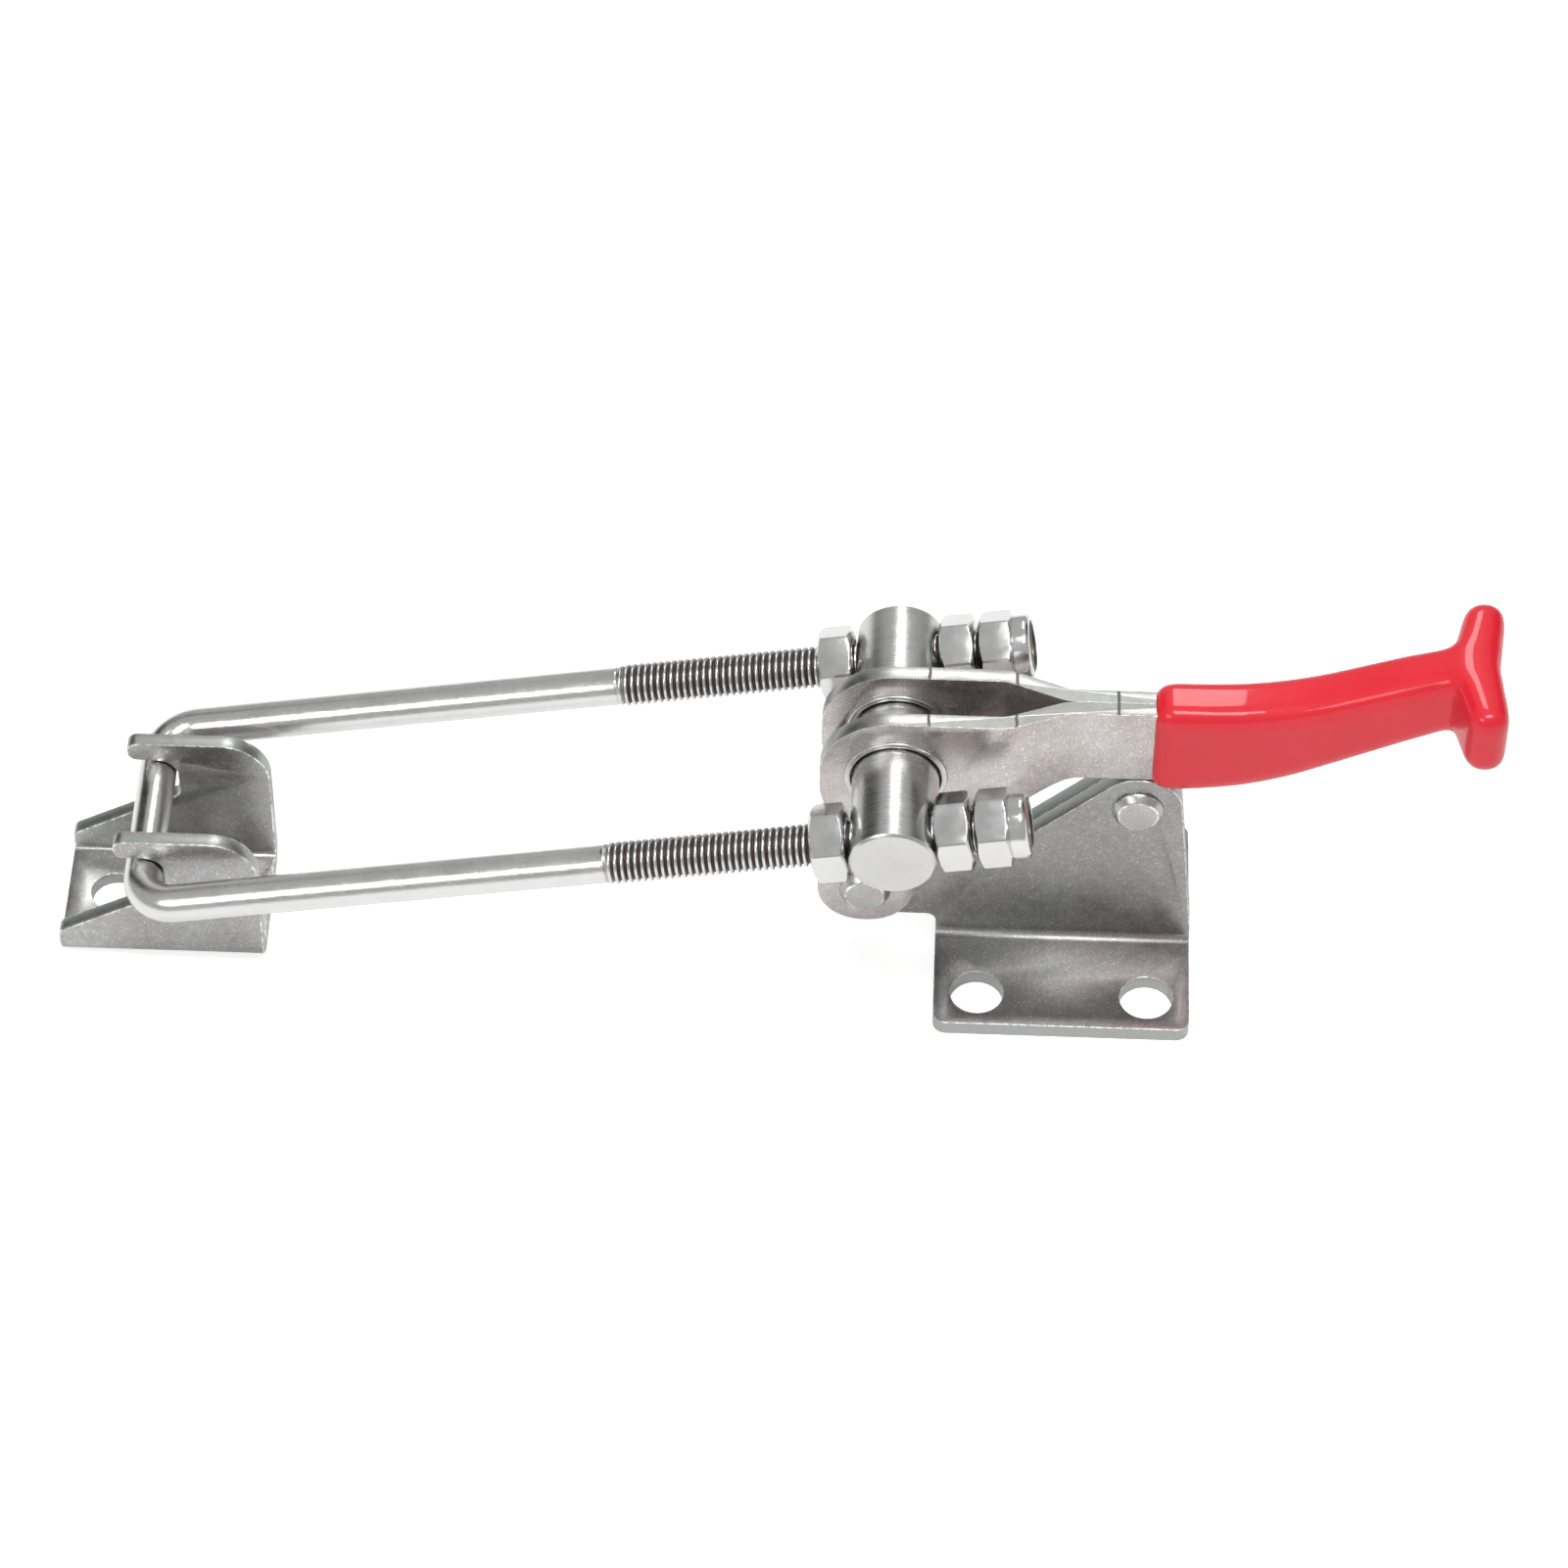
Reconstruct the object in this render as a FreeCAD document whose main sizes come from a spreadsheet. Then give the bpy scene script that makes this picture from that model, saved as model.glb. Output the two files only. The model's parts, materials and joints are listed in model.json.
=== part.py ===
import FreeCAD, Part
import math
import os
import Sketcher

# Pull-action toggle clamp: a two-plate base, a forked two-plate handle with a dipped grip, a cross
# trunnion that carries the legs of a U-bolt, and the latch plate that the U-bolt hooks into.
# Origin: centre of the base's four holes on its mounting face. +X towards the grip, +Z up.

SIZES = {
    # Base, folded from two mirrored sheets that stand back to back on the plane Y = 0
    "base_sheet": 3.2,
    "base_length": 48.0,
    "flange_reach": 25.6,
    "flange_corner": 2.5,
    "base_bend": 1.6,
    "hole_pitch_x": 31.8,
    "hole_pitch_y": 36.0,
    "hole_size": 10.0,
    "base_top": 47.7,
    "side_slant": 3.8,
    "side_foot": 6.0,
    "slope_foot_x": -11.4,
    "slope_top_x": 9.4,
    "base_top_round": 6.5,
    "base_corner_round": 7.6,
    "lug_radius": 8.0,
    "lug_bottom": 8.1,
    "lug_chin_x": -31.0,
    "lug_round": 2.0,
    "lug_heel_drop": 6.0,
    "lug_heel_round": 5.6,
    # Pivot and upper rivet
    "pivot_x": -37.4,
    "pivot_z": 19.5,
    "stop_x": 12.7,
    "stop_z": 39.7,
    "rivet_shank": 6.5,
    "head_base": 9.6,
    "head_face": 7.4,
    "head_height": 1.8,
    "head_rim": 0.5,
    "sleeve_outer": 10.0,
    # Handle, two mirrored sheets that fork round the base and the trunnion
    "handle_sheet": 3.0,
    "fork_gap": 8.6,
    "fork_end_x": -12.4,
    "fork_turn": 21.0,
    "fork_bend": 6.0,
    "ear_radius": 8.9,
    "lobe_radius": 14.0,
    "waist_x": -43.2,
    "waist_z": 36.0,
    "waist_round": 24.0,
    "throat_z": 27.5,
    "throat_round": 12.0,
    "lobe_foot_z": 46.5,
    "ear_head_z": 25.5,
    "waist_ease": 10.0,
    "heel_x": -4.2,
    "heel_round": 22.0,
    "strap_bottom": 48.0,
    "strap_top": 65.5,
    "rise_bottom_x": 30.5,
    "rise_bottom_round": 60.0,
    "rise_top_x": 36.0,
    "rise_top_round": 70.0,
    "rise_bottom_turn": 27.5,
    "rise_top_turn": 21.3,
    "flare_x": 72.4,
    "flare_turn": 76.0,
    "flare_bend": 4.2,
    "flare_reach": 13.6,
    "flare_low": 68.0,
    "flare_high": 78.9,
    # Dipped vinyl grip
    "vinyl": 1.6,
    "grip_start_x": 16.8,
    "grip_edge": 1.4,
    "grip_groove": 9.0,
    "grip_valley": 1.6,
    "grip_end_round": 2.8,
    "grip_ease": 5.0,
    # Trunnion, its bushings and its fits
    "trunnion_x": -32.2,
    "trunnion_z": 51.5,
    "trunnion_size": 16.0,
    "trunnion_length": 57.0,
    "trunnion_edge": 0.5,
    "bushing_wall": 1.4,
    "bushing_lip": 0.6,
    "running_gap": 0.05,
    "side_gap": 0.1,
    # U-bolt
    "leg_inset": 6.5,
    "leg_slope": 10.8,
    "hook_reach": 142.0,
    "shank_size": 7.1,
    "thread_size": 7.9,
    "thread_start": 53.9,
    "rod_end": 21.0,
    "leg_gap": 0.08,
    "hook_bend": 7.0,
    # Nuts
    "nut_flats": 13.0,
    "nut_height": 6.5,
    "nut_seat": 0.25,
    "lock_gap": 0.8,
    "lock_hex": 6.2,
    "lock_collar": 3.3,
    "collar_size": 12.2,
    "collar_lip": 9.6,
    "collar_wall": 0.8,
    # Latch plate
    "latch_length": 38.7,
    "latch_tail": 17.5,
    "latch_width": 27.4,
    "latch_over_rod": 8.308147,
    "latch_sheet": 3.0,
    "latch_bend": 1.0,
    "latch_tail_height": 7.0,
    "latch_ramp": 30.0,
    "latch_ear": 5.4,
    "latch_ear_round": 1.9,
    "latch_back_round": 9.0,
    "latch_seat_gap": 0.3,
    "latch_hole": 9.0,
    "latch_hole_inset": 9.0,
}

doc = FreeCAD.newDocument("toggle_clamp")
sheet = doc.addObject("Spreadsheet::Sheet", "dims")
for row, (alias, number) in enumerate(SIZES.items(), start=1):
    sheet.set("A%d" % row, alias)
    sheet.set("B%d" % row, str(number))
    sheet.setAlias("B%d" % row, alias)
doc.recompute()


class Size:
    """A length or an angle in degrees, held as a number and as the sheet expression that gives it."""

    def __init__(self, number, text):
        self.number = float(number)
        self.text = text

    def __add__(self, other):
        other = size(other)
        return Size(self.number + other.number, "(%s + %s)" % (self.text, other.text))

    def __radd__(self, other):
        return size(other) + self

    def __sub__(self, other):
        other = size(other)
        return Size(self.number - other.number, "(%s - %s)" % (self.text, other.text))

    def __rsub__(self, other):
        return size(other) - self

    def __mul__(self, other):
        other = size(other)
        return Size(self.number * other.number, "(%s * %s)" % (self.text, other.text))

    __rmul__ = __mul__

    def __truediv__(self, other):
        other = size(other)
        return Size(self.number / other.number, "(%s / %s)" % (self.text, other.text))

    def __neg__(self):
        return Size(-self.number, "(-1 * %s)" % self.text)


def size(value):
    """Look a name up in the sheet, or wrap a plain factor."""
    if isinstance(value, Size):
        return value
    if isinstance(value, str):
        return Size(sheet.get(value), "dims." + value)
    return Size(value, repr(float(value)))


def tangent(angle):
    return Size(math.tan(math.radians(angle.number)), "tan(%s)" % angle.text)


def sine(angle):
    return Size(math.sin(math.radians(angle.number)), "sin(%s)" % angle.text)


def cosine(angle):
    return Size(math.cos(math.radians(angle.number)), "cos(%s)" % angle.text)


def bind(target, path, value):
    """Set a property to a size and keep it bound to the sheet."""
    target.setExpression(path, size(value).text)


def new_body(name, placement=None):
    body = doc.addObject("PartDesign::Body", name)
    if placement is not None:
        body.Placement = placement
    return body


def new_sketch(body, role, name):
    """A sketch on one of the body's own origin planes."""
    sketch = body.newObject("Sketcher::SketchObject", name)
    plane = next(item for item in body.Origin.OriginFeatures if item.Role == role)
    sketch.AttachmentSupport = [(plane, "")]
    sketch.MapMode = "FlatFace"
    return sketch


def hold(sketch, kind, places, value):
    """Add a dimension to a sketch and bind it to the sheet."""
    value = size(value)
    index = sketch.addConstraint(Sketcher.Constraint(kind, *places, value.number))
    sketch.setExpression("Constraints[%d]" % index, value.text)


def fix_point(sketch, geometry, end, across, up):
    hold(sketch, "DistanceX", (-1, 1, geometry, end), across)
    hold(sketch, "DistanceY", (-1, 1, geometry, end), up)


def draw_outline(sketch, corners, closed=True):
    """Outline through corners (across, up, round), with a tangent arc where a corner is round."""
    corners = [(size(across), size(up), size(bend) if bend else None) for across, up, bend in corners]
    count = len(corners)
    spots = [FreeCAD.Vector(across.number, up.number, 0) for across, up, bend in corners]
    starts, ends, arcs = [None] * count, [None] * count, [None] * count
    for i, (across, up, bend) in enumerate(corners):
        into = (spots[i] - spots[i - 1]).normalize()
        away = (spots[(i + 1) % count] - spots[i]).normalize()
        if bend is None:
            ends[i - 1], starts[i] = spots[i], spots[i]
            continue
        turn = math.atan2(into.x * away.y - into.y * away.x, into.dot(away))
        reach = bend.number * math.tan(abs(turn) / 2)
        side = FreeCAD.Vector(-into.y, into.x, 0) * math.copysign(1, turn)
        first, last = spots[i] - into * reach, spots[i] + away * reach
        centre = first + side * bend.number
        ends[i - 1], starts[i] = first, last
        if turn < 0:
            first, last = last, first
        begin = math.atan2(first.y - centre.y, first.x - centre.x)
        finish = math.atan2(last.y - centre.y, last.x - centre.x)
        arcs[i] = (centre, bend.number, begin, finish, turn > 0)
    runs = count if closed else count - 1
    lines = [sketch.addGeometry(Part.LineSegment(starts[i], ends[i]), False) for i in range(runs)]
    for i, (across, up, bend) in enumerate(corners):
        if not closed and i in (0, count - 1):
            fix_point(sketch, lines[min(i, runs - 1)], 1 if i == 0 else 2, across, up)
            continue
        before, after = lines[i - 1], lines[i]
        if bend is None:
            sketch.addConstraint(Sketcher.Constraint("Coincident", before, 2, after, 1))
            fix_point(sketch, after, 1, across, up)
            continue
        centre, radius, begin, finish, left = arcs[i]
        circle = Part.Circle(centre, FreeCAD.Vector(0, 0, 1), radius)
        arc = sketch.addGeometry(Part.ArcOfCircle(circle, begin, finish), False)
        corner = sketch.addGeometry(Part.Point(spots[i]), True)
        near_end, far_end = (1, 2) if left else (2, 1)
        sketch.addConstraint(Sketcher.Constraint("Tangent", before, 2, arc, near_end))
        sketch.addConstraint(Sketcher.Constraint("Tangent", arc, far_end, after, 1))
        sketch.addConstraint(Sketcher.Constraint("PointOnObject", corner, 1, before))
        sketch.addConstraint(Sketcher.Constraint("PointOnObject", corner, 1, after))
        hold(sketch, "Radius", (arc,), bend)
        fix_point(sketch, corner, 1, across, up)


def draw_circle(sketch, across, up, radius):
    across, up, radius = size(across), size(up), size(radius)
    centre = FreeCAD.Vector(across.number, up.number, 0)
    circle = sketch.addGeometry(Part.Circle(centre, FreeCAD.Vector(0, 0, 1), radius.number), False)
    hold(sketch, "Radius", (circle,), radius)
    fix_point(sketch, circle, 3, across, up)


def draw_frame(sketch, left, right, low, high):
    """The rectangle outside an outline, so that a pocket takes away all round it."""
    draw_outline(sketch, [(left, low, None), (right, low, None), (right, high, None), (left, high, None)])


def pad(body, sketch, name, length, both_ways=False, backwards=False):
    feature = body.newObject("PartDesign::Pad", name)
    feature.Profile = sketch
    feature.Midplane = both_ways
    feature.Reversed = backwards
    bind(feature, "Length", length)
    return feature


def pocket_through(body, sketch, name):
    """Cut right through the body on both sides of the sketch."""
    feature = body.newObject("PartDesign::Pocket", name)
    feature.Profile = sketch
    feature.Midplane = True
    feature.Type = "ThroughAll"
    return feature


def mirrored(source, name):
    """The far twin of a piece, across the plane Y = 0."""
    twin = doc.addObject("Part::Mirroring", name)
    twin.Source = source
    twin.Normal = (0, 1, 0)
    return twin


HALF = 0.5
SIXTH_TURN = 60
NEARLY_FULL = 0.97  # share of a corner's full round, which leaves a short straight beside it
NEAR_ENOUGH = 0.01
SHORTEST_EDGE = 0.5


def place(piece, across=0, deep=0, up=0, turn=None):
    """Put a piece in the shared frame, bound to the sheet; turn tips it about the trunnion's line."""
    across, deep, up = size(across), size(deep), size(up)
    angle = size(turn).number if turn is not None else 0
    spot = FreeCAD.Vector(across.number, deep.number, up.number)
    piece.Placement = FreeCAD.Placement(spot, FreeCAD.Rotation(FreeCAD.Vector(0, -1, 0), angle))
    bind(piece, "Placement.Base.x", across)
    bind(piece, "Placement.Base.y", deep)
    bind(piece, "Placement.Base.z", up)
    if turn is not None:
        bind(piece, "Placement.Rotation.Angle", turn)


def cut_to_outline(body, role, corners, span, name):
    """Trim a body to an outline: a pocket takes all that lies between it and a larger frame."""
    trim = new_sketch(body, role, name + "_line")
    draw_frame(trim, *span)
    draw_outline(trim, corners)
    pocket_through(body, trim, name)


def drill(body, role, holes, name):
    """Round holes (across, up, radius) right through a body."""
    marks = new_sketch(body, role, name + "_marks")
    for across, up, radius in holes:
        draw_circle(marks, across, up, radius)
    pocket_through(body, marks, name)


def ease_edges(body, kind, name, width, wanted):
    """Fillet or chamfer the edges of the body's last feature that the test picks."""
    doc.recompute()
    tip = body.Tip
    edges = ["Edge%d" % (i + 1) for i, edge in enumerate(tip.Shape.Edges) if wanted(edge)]
    feature = body.newObject(kind, name)
    feature.Base = (tip, edges)
    number = "Radius" if kind.endswith("Fillet") else "Size"
    setattr(feature, number, size(width).number)
    bind(feature, number, width)
    doc.recompute()


# Driving sizes by name, and the places worked out from them
s = {alias: size(alias) for alias in SIZES}
pivot_x, pivot_z = s["pivot_x"], s["pivot_z"]
trunnion_x, trunnion_z = s["trunnion_x"], s["trunnion_z"]
slope = s["leg_slope"]
base_end = s["base_length"] * HALF
fork_inner = s["fork_gap"] * HALF
fork_outer = fork_inner + s["handle_sheet"]
leg_y = s["trunnion_length"] * HALF - s["leg_inset"]
thread_radius = s["thread_size"] * HALF
trunnion_radius = s["trunnion_size"] * HALF
bushing_radius = trunnion_radius + s["running_gap"] + s["bushing_wall"]
margin = size(5)
frame_low = -margin


def make_base_plate():
    """Near base plate: an L-section with a bent foot, cut to its side outline and drilled."""
    body = new_body("base_plate_near")
    deep, thick, bend = s["flange_reach"], s["base_sheet"], s["base_bend"]
    above = s["base_top"] + margin
    section = new_sketch(body, "YZ_Plane", "base_section")
    draw_outline(section, [
        (-deep, 0, None), (0, 0, bend + thick), (0, above, None),
        (-thick, above, None), (-thick, thick, bend), (-deep, thick, None),
    ])
    reach = s["lug_radius"] - pivot_x + margin
    pad(body, section, "base_stock", reach * 2, both_ways=True)
    top, radius = s["base_top"], s["lug_radius"]
    lug_left, lug_top = pivot_x - radius, pivot_z + radius
    cut_to_outline(body, "XZ_Plane", [
        (-base_end, 0, None),
        (base_end, 0, None),
        (base_end, s["side_foot"], None),
        (base_end - s["side_slant"], top, s["base_corner_round"]),
        (s["slope_top_x"], top, s["base_top_round"]),
        (s["slope_foot_x"], lug_top, s["lug_round"]),
        (lug_left, lug_top, radius * NEARLY_FULL),
        (lug_left, pivot_z - s["lug_heel_drop"], s["lug_heel_round"]),
        (s["lug_chin_x"], s["lug_bottom"], s["lug_round"]),
        (-base_end, s["lug_bottom"], s["lug_round"]),
    ], (-(reach + margin), reach + margin, frame_low, above + margin), "base_side")
    drill(body, "XZ_Plane", [
        (pivot_x, pivot_z, s["sleeve_outer"] * HALF),
        (s["stop_x"], s["stop_z"], s["rivet_shank"] * HALF),
    ], "base_rivet_holes")
    half_pitch, hole_row = s["hole_pitch_x"] * HALF, -s["hole_pitch_y"] * HALF
    hole_radius = s["hole_size"] * HALF
    drill(body, "XY_Plane", [(-half_pitch, hole_row, hole_radius), (half_pitch, hole_row, hole_radius)],
          "base_bolt_holes")

    def flange_corner(edge):
        middle = edge.CenterOfMass
        at_front = abs(middle.y + deep.number) < NEAR_ENOUGH
        return at_front and abs(abs(middle.x) - base_end.number) < NEAR_ENOUGH

    ease_edges(body, "PartDesign::Fillet", "base_corners", "flange_corner", flange_corner)
    return body


def make_handle_plate():
    """Near handle plate: one band bent in plan (fork, strap, flared tip), cut to its side outline."""
    body = new_body("handle_plate_near")
    thick, turn, flare = s["handle_sheet"], s["fork_turn"], s["flare_turn"]
    bend, flare_bend = s["fork_bend"], s["flare_bend"]
    left = trunnion_x - s["lobe_radius"] - margin
    start, shift = s["fork_end_x"], thick * tangent(turn * HALF)
    close = start + fork_inner / tangent(turn)
    tip, tip_shift = s["flare_x"], thick * tangent(flare * HALF)
    reach = s["flare_reach"]
    plan = new_sketch(body, "XY_Plane", "handle_plan")
    draw_outline(plan, [
        (left, -fork_inner, None),
        (start, -fork_inner, bend),
        (close, 0, bend + thick),
        (tip, 0, flare_bend + thick),
        (tip + reach / tangent(flare), -reach, None),
        (tip - tip_shift + (reach - thick) / tangent(flare), -reach, None),
        (tip - tip_shift, -thick, flare_bend),
        (close + shift, -thick, bend),
        (start + shift, -fork_outer, bend + thick),
        (left, -fork_outer, None),
    ])
    pad(body, plan, "handle_stock", s["flare_high"] + margin)
    ear, lobe = s["ear_radius"], s["lobe_radius"]
    bottom, top = s["strap_bottom"], s["strap_top"]
    low, high = s["flare_low"], s["flare_high"]
    far_right = tip + reach
    cut_to_outline(body, "XZ_Plane", [
        (pivot_x - ear, pivot_z - ear, ear * NEARLY_FULL),
        (pivot_x + ear, pivot_z - ear, ear * NEARLY_FULL),
        (pivot_x + ear, s["throat_z"], s["throat_round"]),
        (s["heel_x"], bottom, s["heel_round"]),
        (s["rise_bottom_x"], bottom, s["rise_bottom_round"]),
        (s["rise_bottom_x"] + (low - bottom) / tangent(s["rise_bottom_turn"]), low, None),
        (far_right, low, None),
        (far_right, high, None),
        (s["rise_top_x"] + (high - top) / tangent(s["rise_top_turn"]), high, None),
        (s["rise_top_x"], top, s["rise_top_round"]),
        (trunnion_x - lobe, top, lobe * NEARLY_FULL),
        (trunnion_x - lobe, s["lobe_foot_z"], s["waist_ease"]),
        (s["waist_x"], s["waist_z"], s["waist_round"]),
        (pivot_x - ear, s["ear_head_z"], s["waist_ease"]),
    ], (left - margin, far_right + margin, frame_low, high + margin * 2), "handle_side")
    drill(body, "XZ_Plane", [
        (pivot_x, pivot_z, s["rivet_shank"] * HALF + s["running_gap"]),
        (trunnion_x, trunnion_z, bushing_radius),
    ], "handle_holes")
    return body


def make_grip_form():
    """Outside of the dipped grip: the strap and its flared tip grown by the vinyl, edges rounded."""
    body = new_body("grip_form")
    vinyl, flare = s["vinyl"], s["flare_turn"]
    half = s["handle_sheet"] + vinyl
    start, end_y = s["grip_start_x"], s["flare_reach"] + vinyl
    neck = s["flare_x"] - half * tangent(flare * HALF)
    arm_left = neck + (end_y - half) / tangent(flare)
    arm_right = s["flare_x"] + end_y / tangent(flare) + vinyl / sine(flare)
    valley = arm_right - s["grip_valley"]
    end_round = s["grip_end_round"]
    plan = new_sketch(body, "XY_Plane", "grip_plan")
    neck_round = s["flare_bend"] - vinyl
    draw_outline(plan, [
        (start, -half, None), (neck, -half, neck_round), (arm_left, -end_y, end_round),
        (arm_right, -end_y, end_round), (valley, 0, s["grip_groove"]), (arm_right, end_y, end_round),
        (arm_left, end_y, end_round), (neck, half, neck_round), (start, half, None),
    ])
    top, bottom = s["strap_top"] + vinyl, s["strap_bottom"] - vinyl
    low, high = s["flare_low"] - vinyl, s["flare_high"] + vinyl
    rise_bottom, rise_top = s["rise_bottom_turn"], s["rise_top_turn"]
    bottom_x = s["rise_bottom_x"] + vinyl * tangent(rise_bottom * HALF)
    top_x = s["rise_top_x"] - vinyl * tangent(rise_top * HALF)
    far_right = arm_right + margin
    pad(body, plan, "grip_stock", high + margin)
    cut_to_outline(body, "XZ_Plane", [
        (start, bottom, None),
        (bottom_x, bottom, s["rise_bottom_round"]),
        (bottom_x + (low - bottom) / tangent(rise_bottom), low, s["grip_ease"]),
        (far_right, low, None),
        (far_right, high, None),
        (top_x + (high - top) / tangent(rise_top), high, s["grip_ease"]),
        (top_x, top, s["rise_top_round"]),
        (start, top, None),
    ], (start - margin, far_right + margin, frame_low, high + margin * 2), "grip_side")
    ease_edges(body, "PartDesign::Chamfer", "grip_edges", "grip_edge",
               lambda edge: edge.Length > SHORTEST_EDGE)
    return body


def make_rivet(name, across, up, stack, shoulder=()):
    """Rivet turned about its own axis, with a rimmed head at each side of the stack; a shoulder of
    (radius, half length) is the sleeve pressed on its middle."""
    body = new_body(name)
    collar = []
    if shoulder:
        radius, reach = shoulder
        shank_radius = s["rivet_shank"] * HALF
        collar = [(shank_radius, -reach, None), (radius, -reach, None), (radius, reach, None),
                  (shank_radius, reach, None)]
    shank, head, face = s["rivet_shank"] * HALF, s["head_base"] * HALF, s["head_face"] * HALF
    rim, crown = stack + s["head_rim"], stack + s["head_height"]
    profile = new_sketch(body, "XY_Plane", name + "_profile")
    draw_outline(profile, [
        (0, -crown, None), (face, -crown, None), (head, -rim, None), (head, -stack, None),
        (shank, -stack, None), *collar, (shank, stack, None), (head, stack, None), (head, rim, None),
        (face, crown, None), (0, crown, None),
    ])
    turned = body.newObject("PartDesign::Revolution", name + "_turned")
    turned.Profile = profile
    turned.ReferenceAxis = (profile, ["V_Axis"])
    turned.Angle = 360
    place(body, across, 0, up)
    return body


def make_ring(name, outer, inner, length, across, deep, up):
    """Plain bush whose axis runs across the clamp, centred on deep."""
    body = new_body(name)
    rings = new_sketch(body, "XZ_Plane", name + "_rings")
    draw_circle(rings, 0, 0, outer)
    draw_circle(rings, 0, 0, inner)
    pad(body, rings, name + "_length", length, both_ways=True)
    place(body, across, deep, up)
    return body


def make_trunnion():
    """Cross bar with an eased edge at each end and a hole for each leg of the U-bolt."""
    body = new_body("trunnion")
    edge, half = s["trunnion_edge"], s["trunnion_length"] * HALF
    profile = new_sketch(body, "XY_Plane", "trunnion_profile")
    draw_outline(profile, [
        (0, -half, None), (trunnion_radius - edge, -half, None), (trunnion_radius, edge - half, None),
        (trunnion_radius, half - edge, None), (trunnion_radius - edge, half, None), (0, half, None),
    ])
    turned = body.newObject("PartDesign::Revolution", "trunnion_turned")
    turned.Profile = profile
    turned.ReferenceAxis = (profile, ["V_Axis"])
    turned.Angle = 360
    hole = thread_radius + s["leg_gap"]
    drill(body, "YZ_Plane", [(-leg_y, 0, hole), (leg_y, 0, hole)], "trunnion_leg_holes")
    place(body, trunnion_x, 0, trunnion_z, slope)
    return body


def make_u_bolt():
    """Rod bent to a U, with a thicker rolled thread on the end of each leg."""
    body = new_body("u_bolt")
    reach = s["hook_reach"]
    path = new_sketch(body, "XY_Plane", "u_bolt_path")
    draw_outline(path, [
        (-s["thread_start"], -leg_y, None), (-reach, -leg_y, s["hook_bend"]),
        (-reach, leg_y, s["hook_bend"]), (-s["thread_start"], leg_y, None),
    ], closed=False)
    section = new_sketch(body, "YZ_Plane", "u_bolt_section")
    section.AttachmentOffset = FreeCAD.Placement(FreeCAD.Vector(0, 0, -s["thread_start"].number),
                                                 FreeCAD.Rotation())
    bind(section, "AttachmentOffset.Base.z", -s["thread_start"])
    draw_circle(section, -leg_y, 0, s["shank_size"] * HALF)
    doc.recompute()
    pipe = body.newObject("PartDesign::AdditivePipe", "u_bolt_shank")
    pipe.Profile = section
    pipe.Spine = (path, ["Edge%d" % (i + 1) for i in range(len(path.Shape.Edges))])
    threads = new_sketch(body, "YZ_Plane", "u_bolt_threads_line")
    draw_circle(threads, -leg_y, 0, thread_radius)
    draw_circle(threads, leg_y, 0, thread_radius)
    rods = body.newObject("PartDesign::Pad", "u_bolt_threads")
    rods.Profile = threads
    rods.SideType = "Two sides"
    bind(rods, "Length", s["rod_end"])
    bind(rods, "Length2", s["thread_start"])
    place(body, trunnion_x, 0, trunnion_z, slope)
    return body


def hexagon():
    """Corners of a nut with one corner up."""
    radius = s["nut_flats"] * HALF / cosine(size(SIXTH_TURN * HALF))
    turns = [size(SIXTH_TURN * (step + HALF)) for step in range(6)]
    return [(radius * cosine(turn), radius * sine(turn), None) for turn in turns]


def on_leg(body, along, side):
    """Put a piece on one leg of the U-bolt, a distance along it from the trunnion's axis."""
    place(body, trunnion_x + along * cosine(slope), leg_y * side, trunnion_z + along * sine(slope), slope)


def make_nut(name, along, side, height):
    """Hexagon nut with a plain bore."""
    body = new_body(name)
    hexagon_line = new_sketch(body, "YZ_Plane", name + "_line")
    draw_outline(hexagon_line, hexagon())
    draw_circle(hexagon_line, 0, 0, thread_radius + s["leg_gap"])
    pad(body, hexagon_line, name + "_stock", height)
    on_leg(body, along, side)
    return body


def make_lock_nut(name, along, side):
    """Self-locking nut: a hexagon with a crimped collar that holds the insert."""
    body = new_body(name)
    hexagon_line = new_sketch(body, "YZ_Plane", name + "_line")
    draw_outline(hexagon_line, hexagon())
    draw_circle(hexagon_line, 0, 0, thread_radius + s["leg_gap"])
    height, collar = s["lock_hex"], s["lock_collar"]
    pad(body, hexagon_line, name + "_stock", height)
    wall, outer, lip = s["collar_wall"], s["collar_size"] * HALF, s["collar_lip"] * HALF
    crimp = new_sketch(body, "XY_Plane", name + "_collar_line")
    end = height + collar
    draw_outline(crimp, [
        (height, outer - wall, None), (height, outer, None), (end - wall, outer, None),
        (end, outer - wall, None), (end, lip, None), (end - wall, lip, None),
        (end - wall, outer - wall, None),
    ])
    ring = body.newObject("PartDesign::Revolution", name + "_collar")
    ring.Profile = crimp
    ring.ReferenceAxis = (crimp, ["H_Axis"])
    ring.Angle = 360
    on_leg(body, along, side)
    return body


def make_insert(name, along, side):
    """Nylon ring held under the collar of a lock nut."""
    body = new_body(name)
    rings = new_sketch(body, "YZ_Plane", name + "_rings")
    draw_circle(rings, 0, 0, s["collar_size"] * HALF - s["collar_wall"])
    draw_circle(rings, 0, 0, thread_radius + s["leg_gap"])
    pad(body, rings, name + "_height", s["lock_collar"] - s["collar_wall"])
    on_leg(body, along, side)
    return body


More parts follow.
